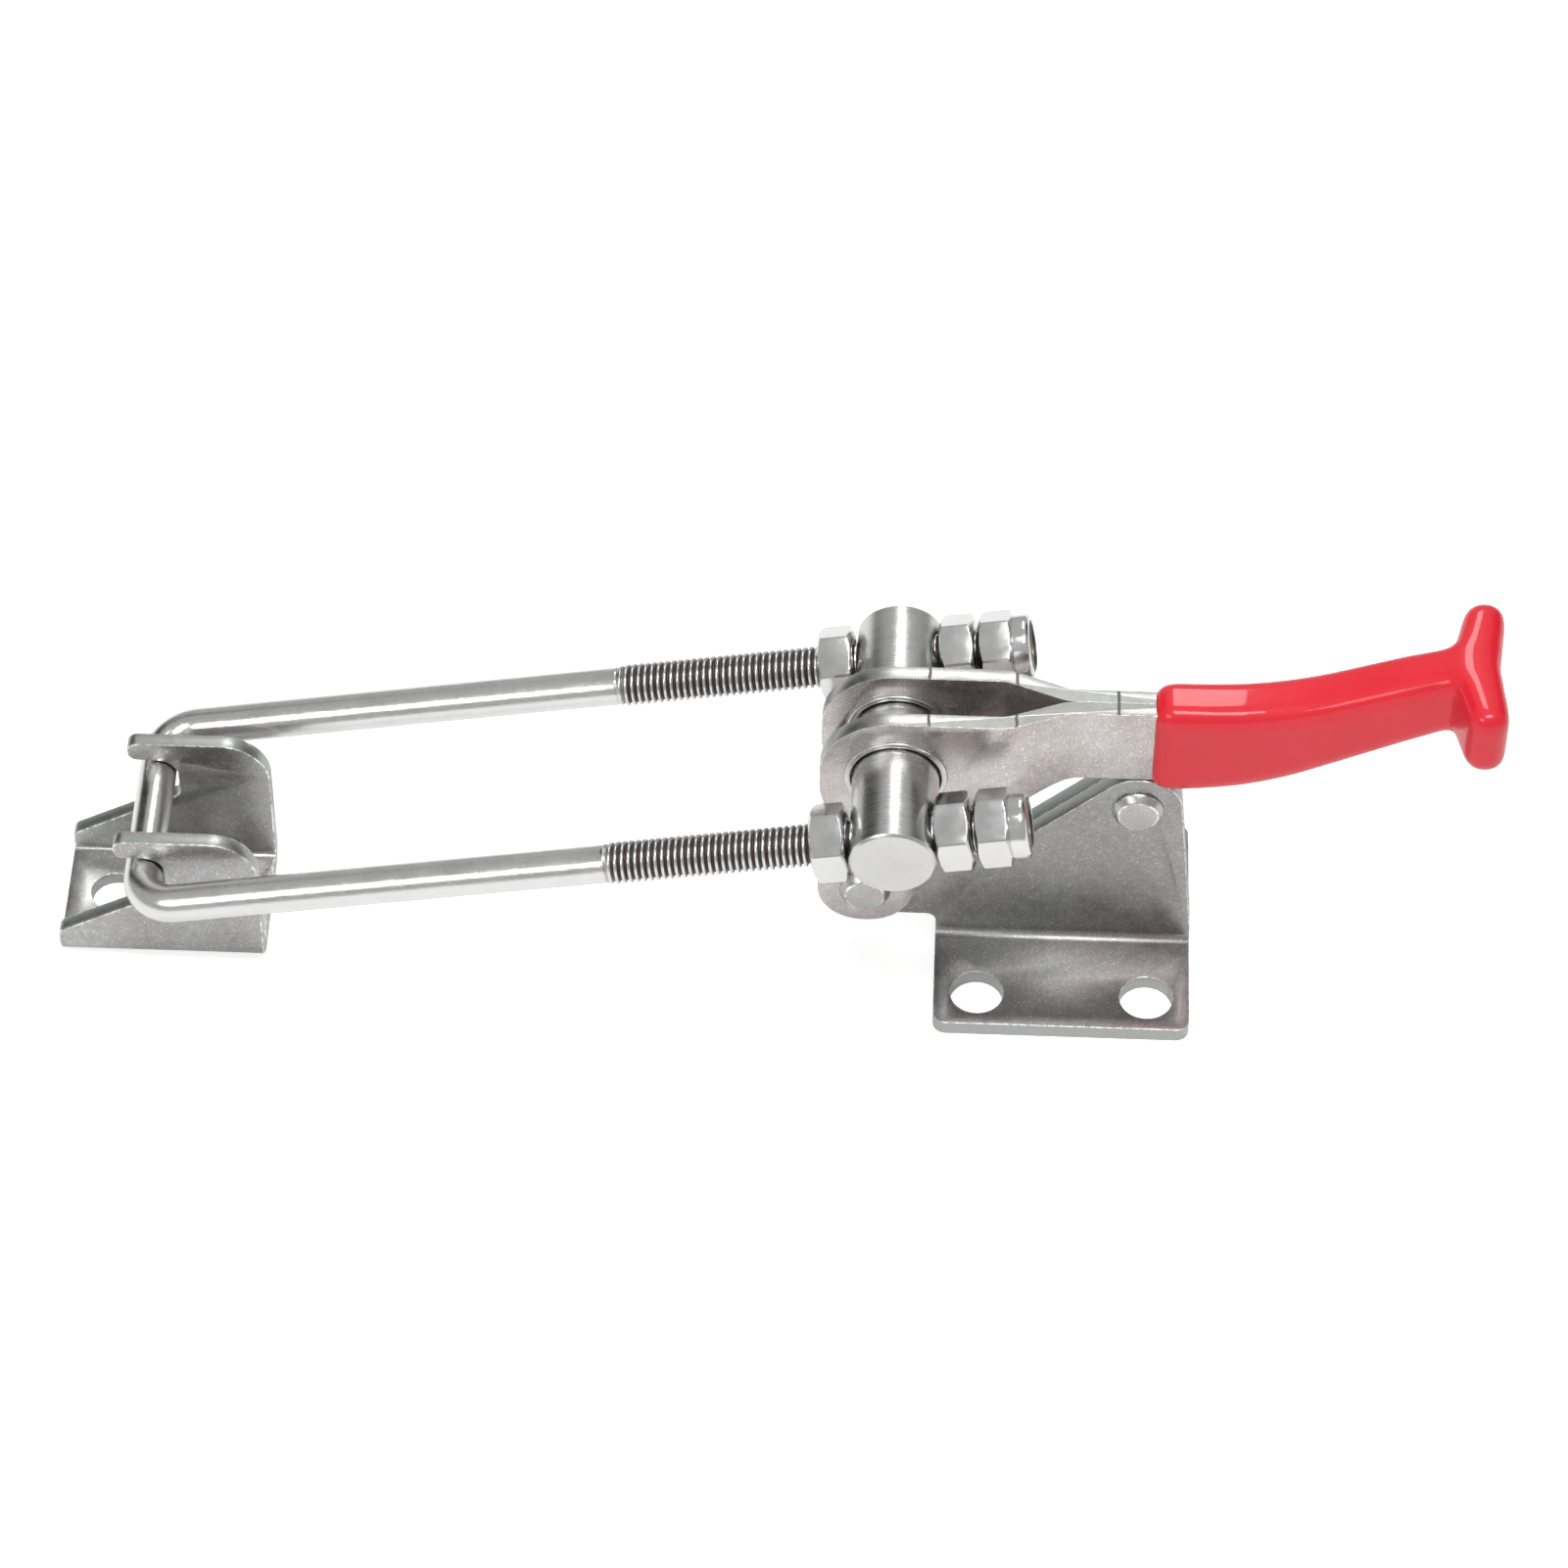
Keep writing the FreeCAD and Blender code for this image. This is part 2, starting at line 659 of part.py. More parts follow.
def make_latch_plate():
    """Channel with a ramp and a hooked notch in each wall, and two bolt holes in its floor."""
    body = new_body("latch_plate")
    rod_z = trunnion_z - s["hook_reach"] * sine(slope)
    thick, bend, high = s["latch_sheet"], s["latch_bend"], rod_z + s["latch_over_rod"]
    outer, inner, length = s["latch_width"] * HALF, s["latch_width"] * HALF - thick, s["latch_length"]
    channel = new_sketch(body, "YZ_Plane", "latch_section")
    draw_outline(channel, [
        (-outer, 0, bend + thick), (outer, 0, bend + thick), (outer, high, None), (inner, high, None),
        (inner, thick, bend), (-inner, thick, bend), (-inner, high, None), (-outer, high, None),
    ])
    pad(body, channel, "latch_stock", length)
    seat = s["shank_size"] * HALF + s["latch_seat_gap"]
    ear, tail, ramp = s["latch_tail"] - s["latch_ear"], s["latch_tail"], s["latch_ramp"]
    end = tail + seat
    cut_to_outline(body, "XZ_Plane", [
        (0, 0, None),
        (length, 0, None),
        (length, high, s["latch_back_round"]),
        (ear, high, s["latch_ear_round"]),
        (ear, rod_z + seat, s["latch_ear_round"]),
        (end, rod_z + seat, seat * NEARLY_FULL),
        (end, s["latch_tail_height"] + end * tangent(ramp), s["latch_ear_round"]),
        (0, s["latch_tail_height"], s["latch_ear_round"]),
    ], (frame_low, length + margin, frame_low, high + margin), "latch_side")
    inset, hole = s["latch_hole_inset"], s["latch_hole"] * HALF
    drill(body, "XY_Plane", [(inset, 0, hole), (length - inset, 0, hole)], "latch_bolt_holes")
    place(body, trunnion_x - s["hook_reach"] * cosine(slope) - tail)
    return body


def build():
    """Make every piece and return them in order."""
    pieces = []
    base_plate = make_base_plate()
    handle_plate = make_handle_plate()
    far_base, far_handle = mirrored(base_plate, "base_plate_far"), mirrored(handle_plate, "handle_plate_far")
    pieces += [base_plate, far_base, handle_plate, far_handle]
    sleeve = (s["sleeve_outer"] * HALF, fork_inner - s["side_gap"])
    pieces.append(make_rivet("pivot_rivet", pivot_x, pivot_z, fork_outer + s["side_gap"], sleeve))
    pieces.append(make_rivet("stop_rivet", s["stop_x"], s["stop_z"], s["base_sheet"]))
    form = make_grip_form()
    strap = doc.addObject("Part::MultiFuse", "strap_pair")
    strap.Shapes = [handle_plate, far_handle]
    grip = doc.addObject("Part::Cut", "grip")
    grip.Base, grip.Tool = form, strap
    pieces.append(grip)
    bushing_length = s["handle_sheet"] + s["bushing_lip"] * 2
    pieces.append(make_trunnion())
    pieces.append(make_u_bolt())
    nut_near_end = trunnion_radius + s["nut_seat"]
    lock_start = nut_near_end + s["nut_height"] + s["lock_gap"]
    for side, word in ((-1, "near"), (1, "far")):
        pieces.append(make_ring("bushing_" + word, bushing_radius, trunnion_radius + s["running_gap"],
                                bushing_length, trunnion_x, (fork_inner + s["handle_sheet"] * HALF) * side,
                                trunnion_z))
        pieces.append(make_nut("inner_nut_" + word, -nut_near_end - s["nut_height"], side, s["nut_height"]))
        pieces.append(make_nut("outer_nut_" + word, nut_near_end, side, s["nut_height"]))
        pieces.append(make_lock_nut("lock_nut_" + word, lock_start, side))
        pieces.append(make_insert("lock_insert_" + word, lock_start + s["lock_hex"], side))
    pieces.append(make_latch_plate())
    return pieces


def check_and_write(pieces):
    """Stop at any failed object or unsound solid, then write one file for each piece."""
    doc.recompute()
    for item in doc.Objects:
        if "Invalid" in item.State or "Error" in item.State:
            raise RuntimeError("%s failed: %s" % (item.Name, item.State))
    os.makedirs("parts", exist_ok=True)
    for piece in pieces:
        piece.Label = piece.Name
        shape = piece.Shape
        if shape.isNull() or not shape.isValid() or len(shape.Solids) != 1:
            raise RuntimeError("%s has %d solids" % (piece.Name, len(shape.Solids)))
    for piece in pieces:
        box = piece.Shape.BoundBox
        print("%-18s %9.1f mm3  X %.1f..%.1f  Y %.1f..%.1f  Z %.1f..%.1f" % (
            piece.Label, piece.Shape.Volume, box.XMin, box.XMax, box.YMin, box.YMax, box.ZMin, box.ZMax))
        piece.Shape.exportStep("parts/%s.step" % piece.Label)


check_and_write(build())
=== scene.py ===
import json
import logging
import math
from dataclasses import dataclass, field
from enum import Enum
from typing import Callable, Dict, List, NamedTuple, Optional, Sequence, Tuple

import bmesh
import bpy
from mathutils import Euler, Matrix, Vector
from mathutils.bvhtree import BVHTree


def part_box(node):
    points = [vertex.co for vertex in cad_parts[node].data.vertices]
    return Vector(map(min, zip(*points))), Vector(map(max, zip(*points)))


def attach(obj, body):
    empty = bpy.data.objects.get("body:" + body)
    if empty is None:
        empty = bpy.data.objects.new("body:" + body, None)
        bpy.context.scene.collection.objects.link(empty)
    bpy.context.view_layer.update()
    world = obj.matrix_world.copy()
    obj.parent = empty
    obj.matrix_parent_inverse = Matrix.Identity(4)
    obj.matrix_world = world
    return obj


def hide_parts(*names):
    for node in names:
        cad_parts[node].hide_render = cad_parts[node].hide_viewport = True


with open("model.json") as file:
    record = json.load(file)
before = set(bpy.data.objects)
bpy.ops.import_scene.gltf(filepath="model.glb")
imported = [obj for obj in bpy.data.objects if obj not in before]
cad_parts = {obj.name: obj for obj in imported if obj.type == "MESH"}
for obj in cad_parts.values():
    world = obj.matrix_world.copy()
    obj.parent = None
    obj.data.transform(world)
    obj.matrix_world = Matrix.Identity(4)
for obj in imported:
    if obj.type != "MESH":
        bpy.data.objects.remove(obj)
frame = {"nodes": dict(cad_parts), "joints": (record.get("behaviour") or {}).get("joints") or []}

LOG = logging.getLogger("toggle_clamp")
MM = 0.001
PHOTO_PIXELS = 1601
SENSOR_MM = 36.0
WELD = 0.004 * MM
SIDES = {"near": -1, "far": 1}

Colour = Tuple[float, float, float]
Point = Tuple[float, float, float]
Span = Tuple[float, float]


class Body(Enum):
    """The moving bodies that a piece can ride on."""

    BASE = "base"
    HANDLE = "handle"
    TRUNNION = "trunnion"
    HOOK = "hook"


class Slot(Enum):
    """The record's material slots."""

    BASE_STEEL = "base_steel"
    HANDLE_STEEL = "handle_steel"
    LATCH_STEEL = "latch_steel"
    RIVET_STEEL = "rivet_steel"
    TURNED_STEEL = "turned_steel"
    NUT_STEEL = "nut_steel"
    ROD_STEEL = "rod_steel"
    NYLON = "nylon"
    RED_VINYL = "red_vinyl"


class GroupBook:
    """Shader node groups that several finishes share, each built once."""

    def __init__(self) -> None:
        """Start with no group made."""
        self.made: Dict[str, bpy.types.NodeTree] = {}

    def get(self, name: str, build: Callable[[bpy.types.NodeTree], None]) -> bpy.types.NodeTree:
        """Return a group, building it the first time.

        Args:
            name: the group's name.
            build: fills an empty node tree.

        Returns:
            The shader node group.
        """
        if name not in self.made:
            tree = bpy.data.node_groups.new(name, "ShaderNodeTree")
            build(tree)
            self.made[name] = tree
        return self.made[name]


GROUPS = GroupBook()


def set_inputs(node: bpy.types.Node, values: Dict[str, object]) -> None:
    """Set a node's inputs by name, where a tuple is a colour."""
    for name, value in values.items():
        node.inputs[name].default_value = (*value, 1.0) if isinstance(value, tuple) else value


def link(tree: bpy.types.NodeTree, source: object, target: object) -> None:
    """Join two sockets."""
    tree.links.new(source, target)


def math_node(tree: bpy.types.NodeTree, operation: str, first: object, second: object) -> object:
    """Add a Math node.

    Args:
        tree: the tree that gets the node.
        operation: Blender's name for the sum.
        first: a socket or a number.
        second: a socket or a number.

    Returns:
        The node's output socket.
    """
    node = tree.nodes.new("ShaderNodeMath")
    node.operation = operation
    for place, value in enumerate((first, second)):
        if isinstance(value, (int, float)):
            node.inputs[place].default_value = value
        else:
            link(tree, value, node.inputs[place])
    return node.outputs[0]


def noise_node(tree: bpy.types.NodeTree, vector: object, scale: object, detail: float = 4.0,
               roughness: float = 0.6) -> object:
    """Add a noise texture.

    Args:
        tree: the tree that gets the node.
        vector: coordinates.
        scale: a socket or a number, per metre.
        detail: octaves.
        roughness: strength of the fine octaves.

    Returns:
        The noise value's socket.
    """
    node = tree.nodes.new("ShaderNodeTexNoise")
    node.inputs["Detail"].default_value = detail
    node.inputs["Roughness"].default_value = roughness
    link(tree, vector, node.inputs["Vector"])
    if isinstance(scale, (int, float)):
        node.inputs["Scale"].default_value = scale
    else:
        link(tree, scale, node.inputs["Scale"])
    return node.outputs["Fac"]


def range_node(tree: bpy.types.NodeTree, value: object, band: Span, target: Span = (0.0, 1.0)) -> object:
    """Map a value's range to another and clamp it.

    Args:
        tree: the tree that gets the node.
        value: the socket to map.
        band: input at the start and at the end.
        target: output at the start and at the end.

    Returns:
        The mapped value's socket.
    """
    node = tree.nodes.new("ShaderNodeMapRange")
    set_inputs(node, dict(zip(("From Min", "From Max", "To Min", "To Max"), (*band, *target))))
    link(tree, value, node.inputs["Value"])
    return node.outputs["Result"]


def mix_colour(tree: bpy.types.NodeTree, factor: object, first: object, second: object,
               blend: str = "MIX") -> object:
    """Mix two colours.

    Args:
        tree: the tree that gets the node.
        factor: a socket or a number.
        first: a socket or a colour.
        second: a socket or a colour.
        blend: Blender's blend type.

    Returns:
        The mixed colour's socket.
    """
    node = tree.nodes.new("ShaderNodeMix")
    node.data_type = "RGBA"
    node.blend_type = blend
    for place, value in ((0, factor), (6, first), (7, second)):
        if isinstance(value, (int, float)):
            node.inputs[place].default_value = value
        elif isinstance(value, tuple):
            node.inputs[place].default_value = (*value, 1.0)
        else:
            link(tree, value, node.inputs[place])
    return node.outputs[2]


def scale_colour(tree: bpy.types.NodeTree, colour: object, amount: object) -> object:
    """Multiply a colour's socket by a number's socket and return the result's socket."""
    node = tree.nodes.new("ShaderNodeVectorMath")
    node.operation = "SCALE"
    link(tree, colour, node.inputs[0])
    link(tree, amount, node.inputs["Scale"])
    return node.outputs[0]


def object_place(tree: bpy.types.NodeTree) -> object:
    """Add object coordinates and return their socket."""
    return tree.nodes.new("ShaderNodeTexCoord").outputs["Object"]


def mark_node(tree: bpy.types.NodeTree, name: str) -> object:
    """Read a mark that the mesh carries and return its socket."""
    node = tree.nodes.new("ShaderNodeAttribute")
    node.attribute_name = name
    return node.outputs["Fac"]


NUMBER_SOCKET, COLOUR_SOCKET = "NodeSocketFloat", "NodeSocketColor"
SURFACE_OUTPUTS = {"Colour": COLOUR_SOCKET, "Roughness": NUMBER_SOCKET, "Height": NUMBER_SOCKET}


def open_group(tree: bpy.types.NodeTree, inputs: Dict[str, object],
               outputs: Dict[str, str]) -> Tuple[bpy.types.Node, bpy.types.Node, object]:
    """Give a group its sockets, its two end nodes and object coordinates.

    Args:
        tree: the node group.
        inputs: socket name to default value; a number makes a float, a tuple of 3 a colour.
        outputs: socket name to socket type.

    Returns:
        The input node, the output node and the socket of the coordinates.
    """
    for name, value in inputs.items():
        kind = COLOUR_SOCKET if isinstance(value, tuple) else NUMBER_SOCKET
        socket = tree.interface.new_socket(name=name, in_out="INPUT", socket_type=kind)
        socket.default_value = (*value, 1.0) if isinstance(value, tuple) else value
    for name, kind in outputs.items():
        tree.interface.new_socket(name=name, in_out="OUTPUT", socket_type=kind)
    return tree.nodes.new("NodeGroupInput"), tree.nodes.new("NodeGroupOutput"), object_place(tree)


def group_node(tree: bpy.types.NodeTree, name: str, build: Callable[[bpy.types.NodeTree], None],
               values: Dict[str, object]) -> bpy.types.Node:
    """Add a shared group to a material.

    Args:
        tree: the material's tree.
        name: the group's name.
        build: fills the group when it is first asked for.
        values: input name to value, where a tuple is a colour.

    Returns:
        The group's node.
    """
    node = tree.nodes.new("ShaderNodeGroup")
    node.node_tree = GROUPS.get(name, build)
    set_inputs(node, values)
    return node


def build_sheet_grain(tree: bpy.types.NodeTree) -> None:
    """Rolled and tumbled sheet: cloudy patches, fine speckle and painted glints, bright dots where the
    speckle peaks.
    """
    inside, outside, place = open_group(
        tree, {"Colour": (0.5, 0.5, 0.5), "Warm": (0.5, 0.45, 0.42), "Patch Scale": 90.0,
               "Speckle Scale": 2600.0, "Strength": 0.3, "Roughness": 0.4}, SURFACE_OUTPUTS)
    given = inside.outputs
    patch_band, glint_band, mid_band = (0.42, 0.66), (0.58, 0.72), (0.3, 0.7)
    glint_gain, dullness = (0.0, 1.6), (-0.05, 0.07)
    mid_over_patch, speckle_height, mid_height = 6.0, 0.7, 0.5
    patch = noise_node(tree, place, given["Patch Scale"], detail=5.0)
    speckle = noise_node(tree, place, given["Speckle Scale"], detail=3.0, roughness=0.65)
    mid = noise_node(tree, place, math_node(tree, "MULTIPLY", given["Patch Scale"], mid_over_patch))
    warm = mix_colour(tree, range_node(tree, patch, patch_band), given["Colour"], given["Warm"])
    light = math_node(tree, "MULTIPLY", given["Strength"],
                      math_node(tree, "SUBTRACT", math_node(tree, "ADD", mid, speckle), 1.0))
    # painted glints: the colour is raised in small bright dots where the speckle peaks
    glint_dots = math_node(tree, "MULTIPLY", given["Strength"], range_node(tree, speckle, glint_band, glint_gain))
    shade = math_node(tree, "ADD", math_node(tree, "ADD", light, glint_dots), 1.0)
    link(tree, scale_colour(tree, warm, shade), outside.inputs["Colour"])
    rough = math_node(tree, "ADD", given["Roughness"], range_node(tree, mid, mid_band, dullness))
    link(tree, rough, outside.inputs["Roughness"])
    height = math_node(tree, "ADD", math_node(tree, "MULTIPLY", speckle, speckle_height),
                       math_node(tree, "MULTIPLY", mid, mid_height))
    link(tree, height, outside.inputs["Height"])


def build_drawn_lines(tree: bpy.types.NodeTree) -> None:
    """Fine lines left by drawing or turning, stretched along or around an axis by Stretch."""
    inside, outside, place = open_group(
        tree, {"Colour": (0.6, 0.6, 0.6), "Stretch X": 1.0, "Stretch Y": 1.0, "Stretch Z": 1.0,
               "Strength": 0.2, "Roughness": 0.25}, SURFACE_OUTPUTS)
    given = inside.outputs
    cloud_scale, line_band, dullness = 160.0, (-0.3, 0.3), (-0.05, 0.06)
    pull = tree.nodes.new("ShaderNodeCombineXYZ")
    for axis in "XYZ":
        link(tree, given["Stretch " + axis], pull.inputs[axis])
    scaled = tree.nodes.new("ShaderNodeVectorMath")
    scaled.operation = "MULTIPLY"
    link(tree, place, scaled.inputs[0])
    link(tree, pull.outputs[0], scaled.inputs[1])
    lines = noise_node(tree, scaled.outputs[0], 1.0, roughness=0.7)
    cloud = noise_node(tree, place, cloud_scale)
    both = math_node(tree, "SUBTRACT", math_node(tree, "ADD", lines, cloud), 1.0)
    shade = math_node(tree, "ADD", math_node(tree, "MULTIPLY", given["Strength"], both), 1.0)
    link(tree, scale_colour(tree, given["Colour"], shade), outside.inputs["Colour"])
    rough = math_node(tree, "ADD", given["Roughness"], range_node(tree, both, line_band, dullness))
    link(tree, rough, outside.inputs["Roughness"])
    link(tree, lines, outside.inputs["Height"])


def build_worn_edge_and_highlight(tree: bpy.types.NodeTree) -> None:
    """Masks of cut faces and burred edges, read from the marks on a mesh and broken up by noise; the burr
    mask also places a painted edge highlight.
    """
    inside, outside, place = open_group(tree, {"Break Up": 900.0},
                                        {"Burr And Highlight": NUMBER_SOCKET, "Cut": NUMBER_SOCKET})
    spot_band = (0.40, 0.62)
    spots = range_node(tree, noise_node(tree, place, inside.outputs["Break Up"], detail=3.0), spot_band)
    link(tree, math_node(tree, "MULTIPLY", mark_node(tree, "burr_and_highlight"), spots), outside.inputs["Burr And Highlight"])
    link(tree, mark_node(tree, "cut_face"), outside.inputs["Cut"])


def build_shear_nicks(tree: bpy.types.NodeTree) -> None:
    """Short marks across an edge at three places along X, which the shearing die leaves."""
    inside, outside, place = open_group(tree, {"First": 0.0, "Second": 0.0, "Third": 0.0, "Width": 0.3 * MM},
                                        {"Mask": NUMBER_SOCKET})
    wander_scale, wander_reach = 700.0, 0.6 * MM
    parts = tree.nodes.new("ShaderNodeSeparateXYZ")
    link(tree, place, parts.inputs[0])
    noise = noise_node(tree, place, wander_scale, detail=2.0)
    wander = math_node(tree, "MULTIPLY", math_node(tree, "SUBTRACT", noise, 0.5), wander_reach)
    along = math_node(tree, "ADD", parts.outputs["X"], wander)
    total = None
    for name in ("First", "Second", "Third"):
        gap = math_node(tree, "ABSOLUTE", math_node(tree, "SUBTRACT", along, inside.outputs[name]), 0.0)
        near = math_node(tree, "SUBTRACT", 1.0, math_node(tree, "DIVIDE", gap, inside.outputs["Width"]))
        near = math_node(tree, "MAXIMUM", near, 0.0)
        total = near if total is None else math_node(tree, "ADD", total, near)
    link(tree, total, outside.inputs["Mask"])


def new_material(name: str) -> Tuple[bpy.types.Material, bpy.types.NodeTree, bpy.types.Node]:
    """Make a material with an empty Principled shader.

    Args:
        name: the material's name.

    Returns:
        The material, its node tree and its Principled node.
    """
    material = bpy.data.materials.new(name)
    material.use_nodes = True
    return material, material.node_tree, material.node_tree.nodes["Principled BSDF"]


def add_bump(tree: bpy.types.NodeTree, shader: bpy.types.Node, height: object, strength: float,
             distance: float) -> None:
    """Feed a height into a shader's normal.

    Args:
        tree: the material's tree.
        shader: the Principled node.
        height: the height socket.
        strength: the bump's strength.
        distance: height of a full step, in metres.
    """
    bump = tree.nodes.new("ShaderNodeBump")
    set_inputs(bump, {"Strength": strength, "Distance": distance})
    link(tree, height, bump.inputs["Height"])
    link(tree, bump.outputs["Normal"], shader.inputs["Normal"])


@dataclass(frozen=True)
class SheetSteel:
    """Pressed stainless sheet with a tumbled face and burred edges, whose brighter colour is a painted edge
    highlight.
    """

    name: str
    colour: Colour
    warm: Colour
    edge: Colour
    roughness: float = 0.36
    patch_scale: float = 90.0
    speckle_scale: float = 2600.0
    strength: float = 0.34
    # painted edge highlight: the colour of the burred edge faces
    painted_edge_highlight_colour: Colour = (0.92, 0.93, 0.92)
    burr_polish: float = 0.14
    cut_amount: float = 0.75
    bump: float = 0.22
    grain_height: float = 0.14 * MM
    nicks: Optional[Point] = None
    nick_colour: Colour = (0.16, 0.15, 0.15)
    nick_amount: float = 0.55
    nick_depth: float = 2.5

    def make(self) -> bpy.types.Material:
        """Build the material."""
        material, tree, shader = new_material(self.name)
        grain = group_node(tree, "sheet_grain", build_sheet_grain, {
            "Colour": self.colour, "Warm": self.warm, "Patch Scale": self.patch_scale,
            "Speckle Scale": self.speckle_scale, "Strength": self.strength, "Roughness": self.roughness})
        worn_and_highlight = group_node(tree, "worn_edge_and_highlight", build_worn_edge_and_highlight, {})
        cut, burr_and_highlight = worn_and_highlight.outputs["Cut"], worn_and_highlight.outputs["Burr And Highlight"]
        amount = math_node(tree, "MULTIPLY", cut, self.cut_amount)
        colour = mix_colour(tree, amount, grain.outputs["Colour"], self.edge)
        height = grain.outputs["Height"]
        if self.nicks is not None:
            spots = {name: spot * MM for name, spot in zip(("First", "Second", "Third"), self.nicks)}
            marks = group_node(tree, "shear_nicks", build_shear_nicks, spots)
            nick = math_node(tree, "MULTIPLY", marks.outputs["Mask"], math_node(tree, "MAXIMUM", cut, burr_and_highlight))
            shown = math_node(tree, "MULTIPLY", nick, self.nick_amount)
            colour = mix_colour(tree, shown, colour, self.nick_colour)
            sunk = math_node(tree, "MULTIPLY", nick, self.nick_depth)
            height = math_node(tree, "SUBTRACT", height, sunk)
        # painted highlight: the burred edge faces are mixed towards a near-white colour; the lower roughness
        # there is a real polish
        link(tree, mix_colour(tree, burr_and_highlight, colour, self.painted_edge_highlight_colour), shader.inputs["Base Color"])
        polish = math_node(tree, "MULTIPLY", burr_and_highlight, self.burr_polish)
        rough = math_node(tree, "SUBTRACT", grain.outputs["Roughness"], polish)
        link(tree, rough, shader.inputs["Roughness"])
        set_inputs(shader, {"Metallic": 1.0})
        add_bump(tree, shader, height, self.bump, self.grain_height)
        return material


@dataclass(frozen=True)
class LinedSteel:
    """Bright stainless with fine lines from drawing or turning."""

    name: str
    colour: Colour
    stretch: Point
    roughness: float = 0.2
    strength: float = 0.2
    bump: float = 0.1
    line_height: float = 0.06 * MM
    painted_root_shade: Optional[Colour] = None
    root_dullness: float = 0.25

    def make(self) -> bpy.types.Material:
        """Build the material; a root colour paints shade into what the mesh marks as thread root."""
        material, tree, shader = new_material(self.name)
        values = {"Stretch " + axis: value for axis, value in zip("XYZ", self.stretch)}
        values.update({"Colour": self.colour, "Strength": self.strength, "Roughness": self.roughness})
        lines = group_node(tree, "drawn_lines", build_drawn_lines, values)
        colour, rough = lines.outputs["Colour"], lines.outputs["Roughness"]
        if self.painted_root_shade is not None:
            root = mark_node(tree, "thread_root")
            # painted shade: the thread roots are mixed towards a dark colour
            colour = mix_colour(tree, root, colour, self.painted_root_shade)
            rough = math_node(tree, "ADD", rough, math_node(tree, "MULTIPLY", root, self.root_dullness))
        link(tree, colour, shader.inputs["Base Color"])
        link(tree, rough, shader.inputs["Roughness"])
        set_inputs(shader, {"Metallic": 1.0})
        add_bump(tree, shader, lines.outputs["Height"], self.bump, self.line_height)
        return material


@dataclass(frozen=True)
class DippedVinyl:
    """Glossy dipped vinyl with a soft depth of colour and a faint skin texture."""

    name: str
    colour: Colour
    deep: Colour
    roughness: float = 0.3
    cloud_scale: float = 45.0
    skin_scale: float = 900.0
    specular: float = 0.25
    coat: float = 0.55
    coat_roughness: float = 0.06
    bump: float = 0.025
    skin_height: float = 0.1 * MM
    cloud_over_skin: float = 4.0

    def make(self) -> bpy.types.Material:
        """Build the material."""
        material, tree, shader = new_material(self.name)
        place = object_place(tree)
        cloud = noise_node(tree, place, self.cloud_scale, detail=3.0, roughness=0.5)
        skin = noise_node(tree, place, self.skin_scale, detail=3.0)
        colour = mix_colour(tree, range_node(tree, cloud, (0.35, 0.7)), self.colour, self.deep)
        link(tree, colour, shader.inputs["Base Color"])
        dullness = (self.roughness - 0.04, self.roughness + 0.05)
        link(tree, range_node(tree, skin, (0.3, 0.7), dullness), shader.inputs["Roughness"])
        set_inputs(shader, {"Specular IOR Level": self.specular, "Coat Weight": self.coat,
                            "Coat Roughness": self.coat_roughness})
        waves = math_node(tree, "MULTIPLY", cloud, self.cloud_over_skin)
        add_bump(tree, shader, math_node(tree, "ADD", skin, waves), self.bump, self.skin_height)
        return material


@dataclass(frozen=True)
class PlainNylon:
    """Milky nylon of the lock nuts' inserts, given a darker grey colour: painted shade for the insert deep
    in the collar's opening.
    """

    name: str
    colour: Colour
    grain_scale: float = 1500.0
    shade: float = 0.8
    bump: float = 0.1
    grain_height: float = 0.1 * MM

    def make(self) -> bpy.types.Material:
        """Build the material."""
        material, tree, shader = new_material(self.name)
        grain = noise_node(tree, object_place(tree), self.grain_scale, detail=3.0)
        dark = tuple(part * self.shade for part in self.colour)
        link(tree, mix_colour(tree, grain, self.colour, dark), shader.inputs["Base Color"])
        link(tree, range_node(tree, grain, (0.3, 0.7), (0.4, 0.55)), shader.inputs["Roughness"])
        add_bump(tree, shader, grain, self.bump, self.grain_height)
        return material


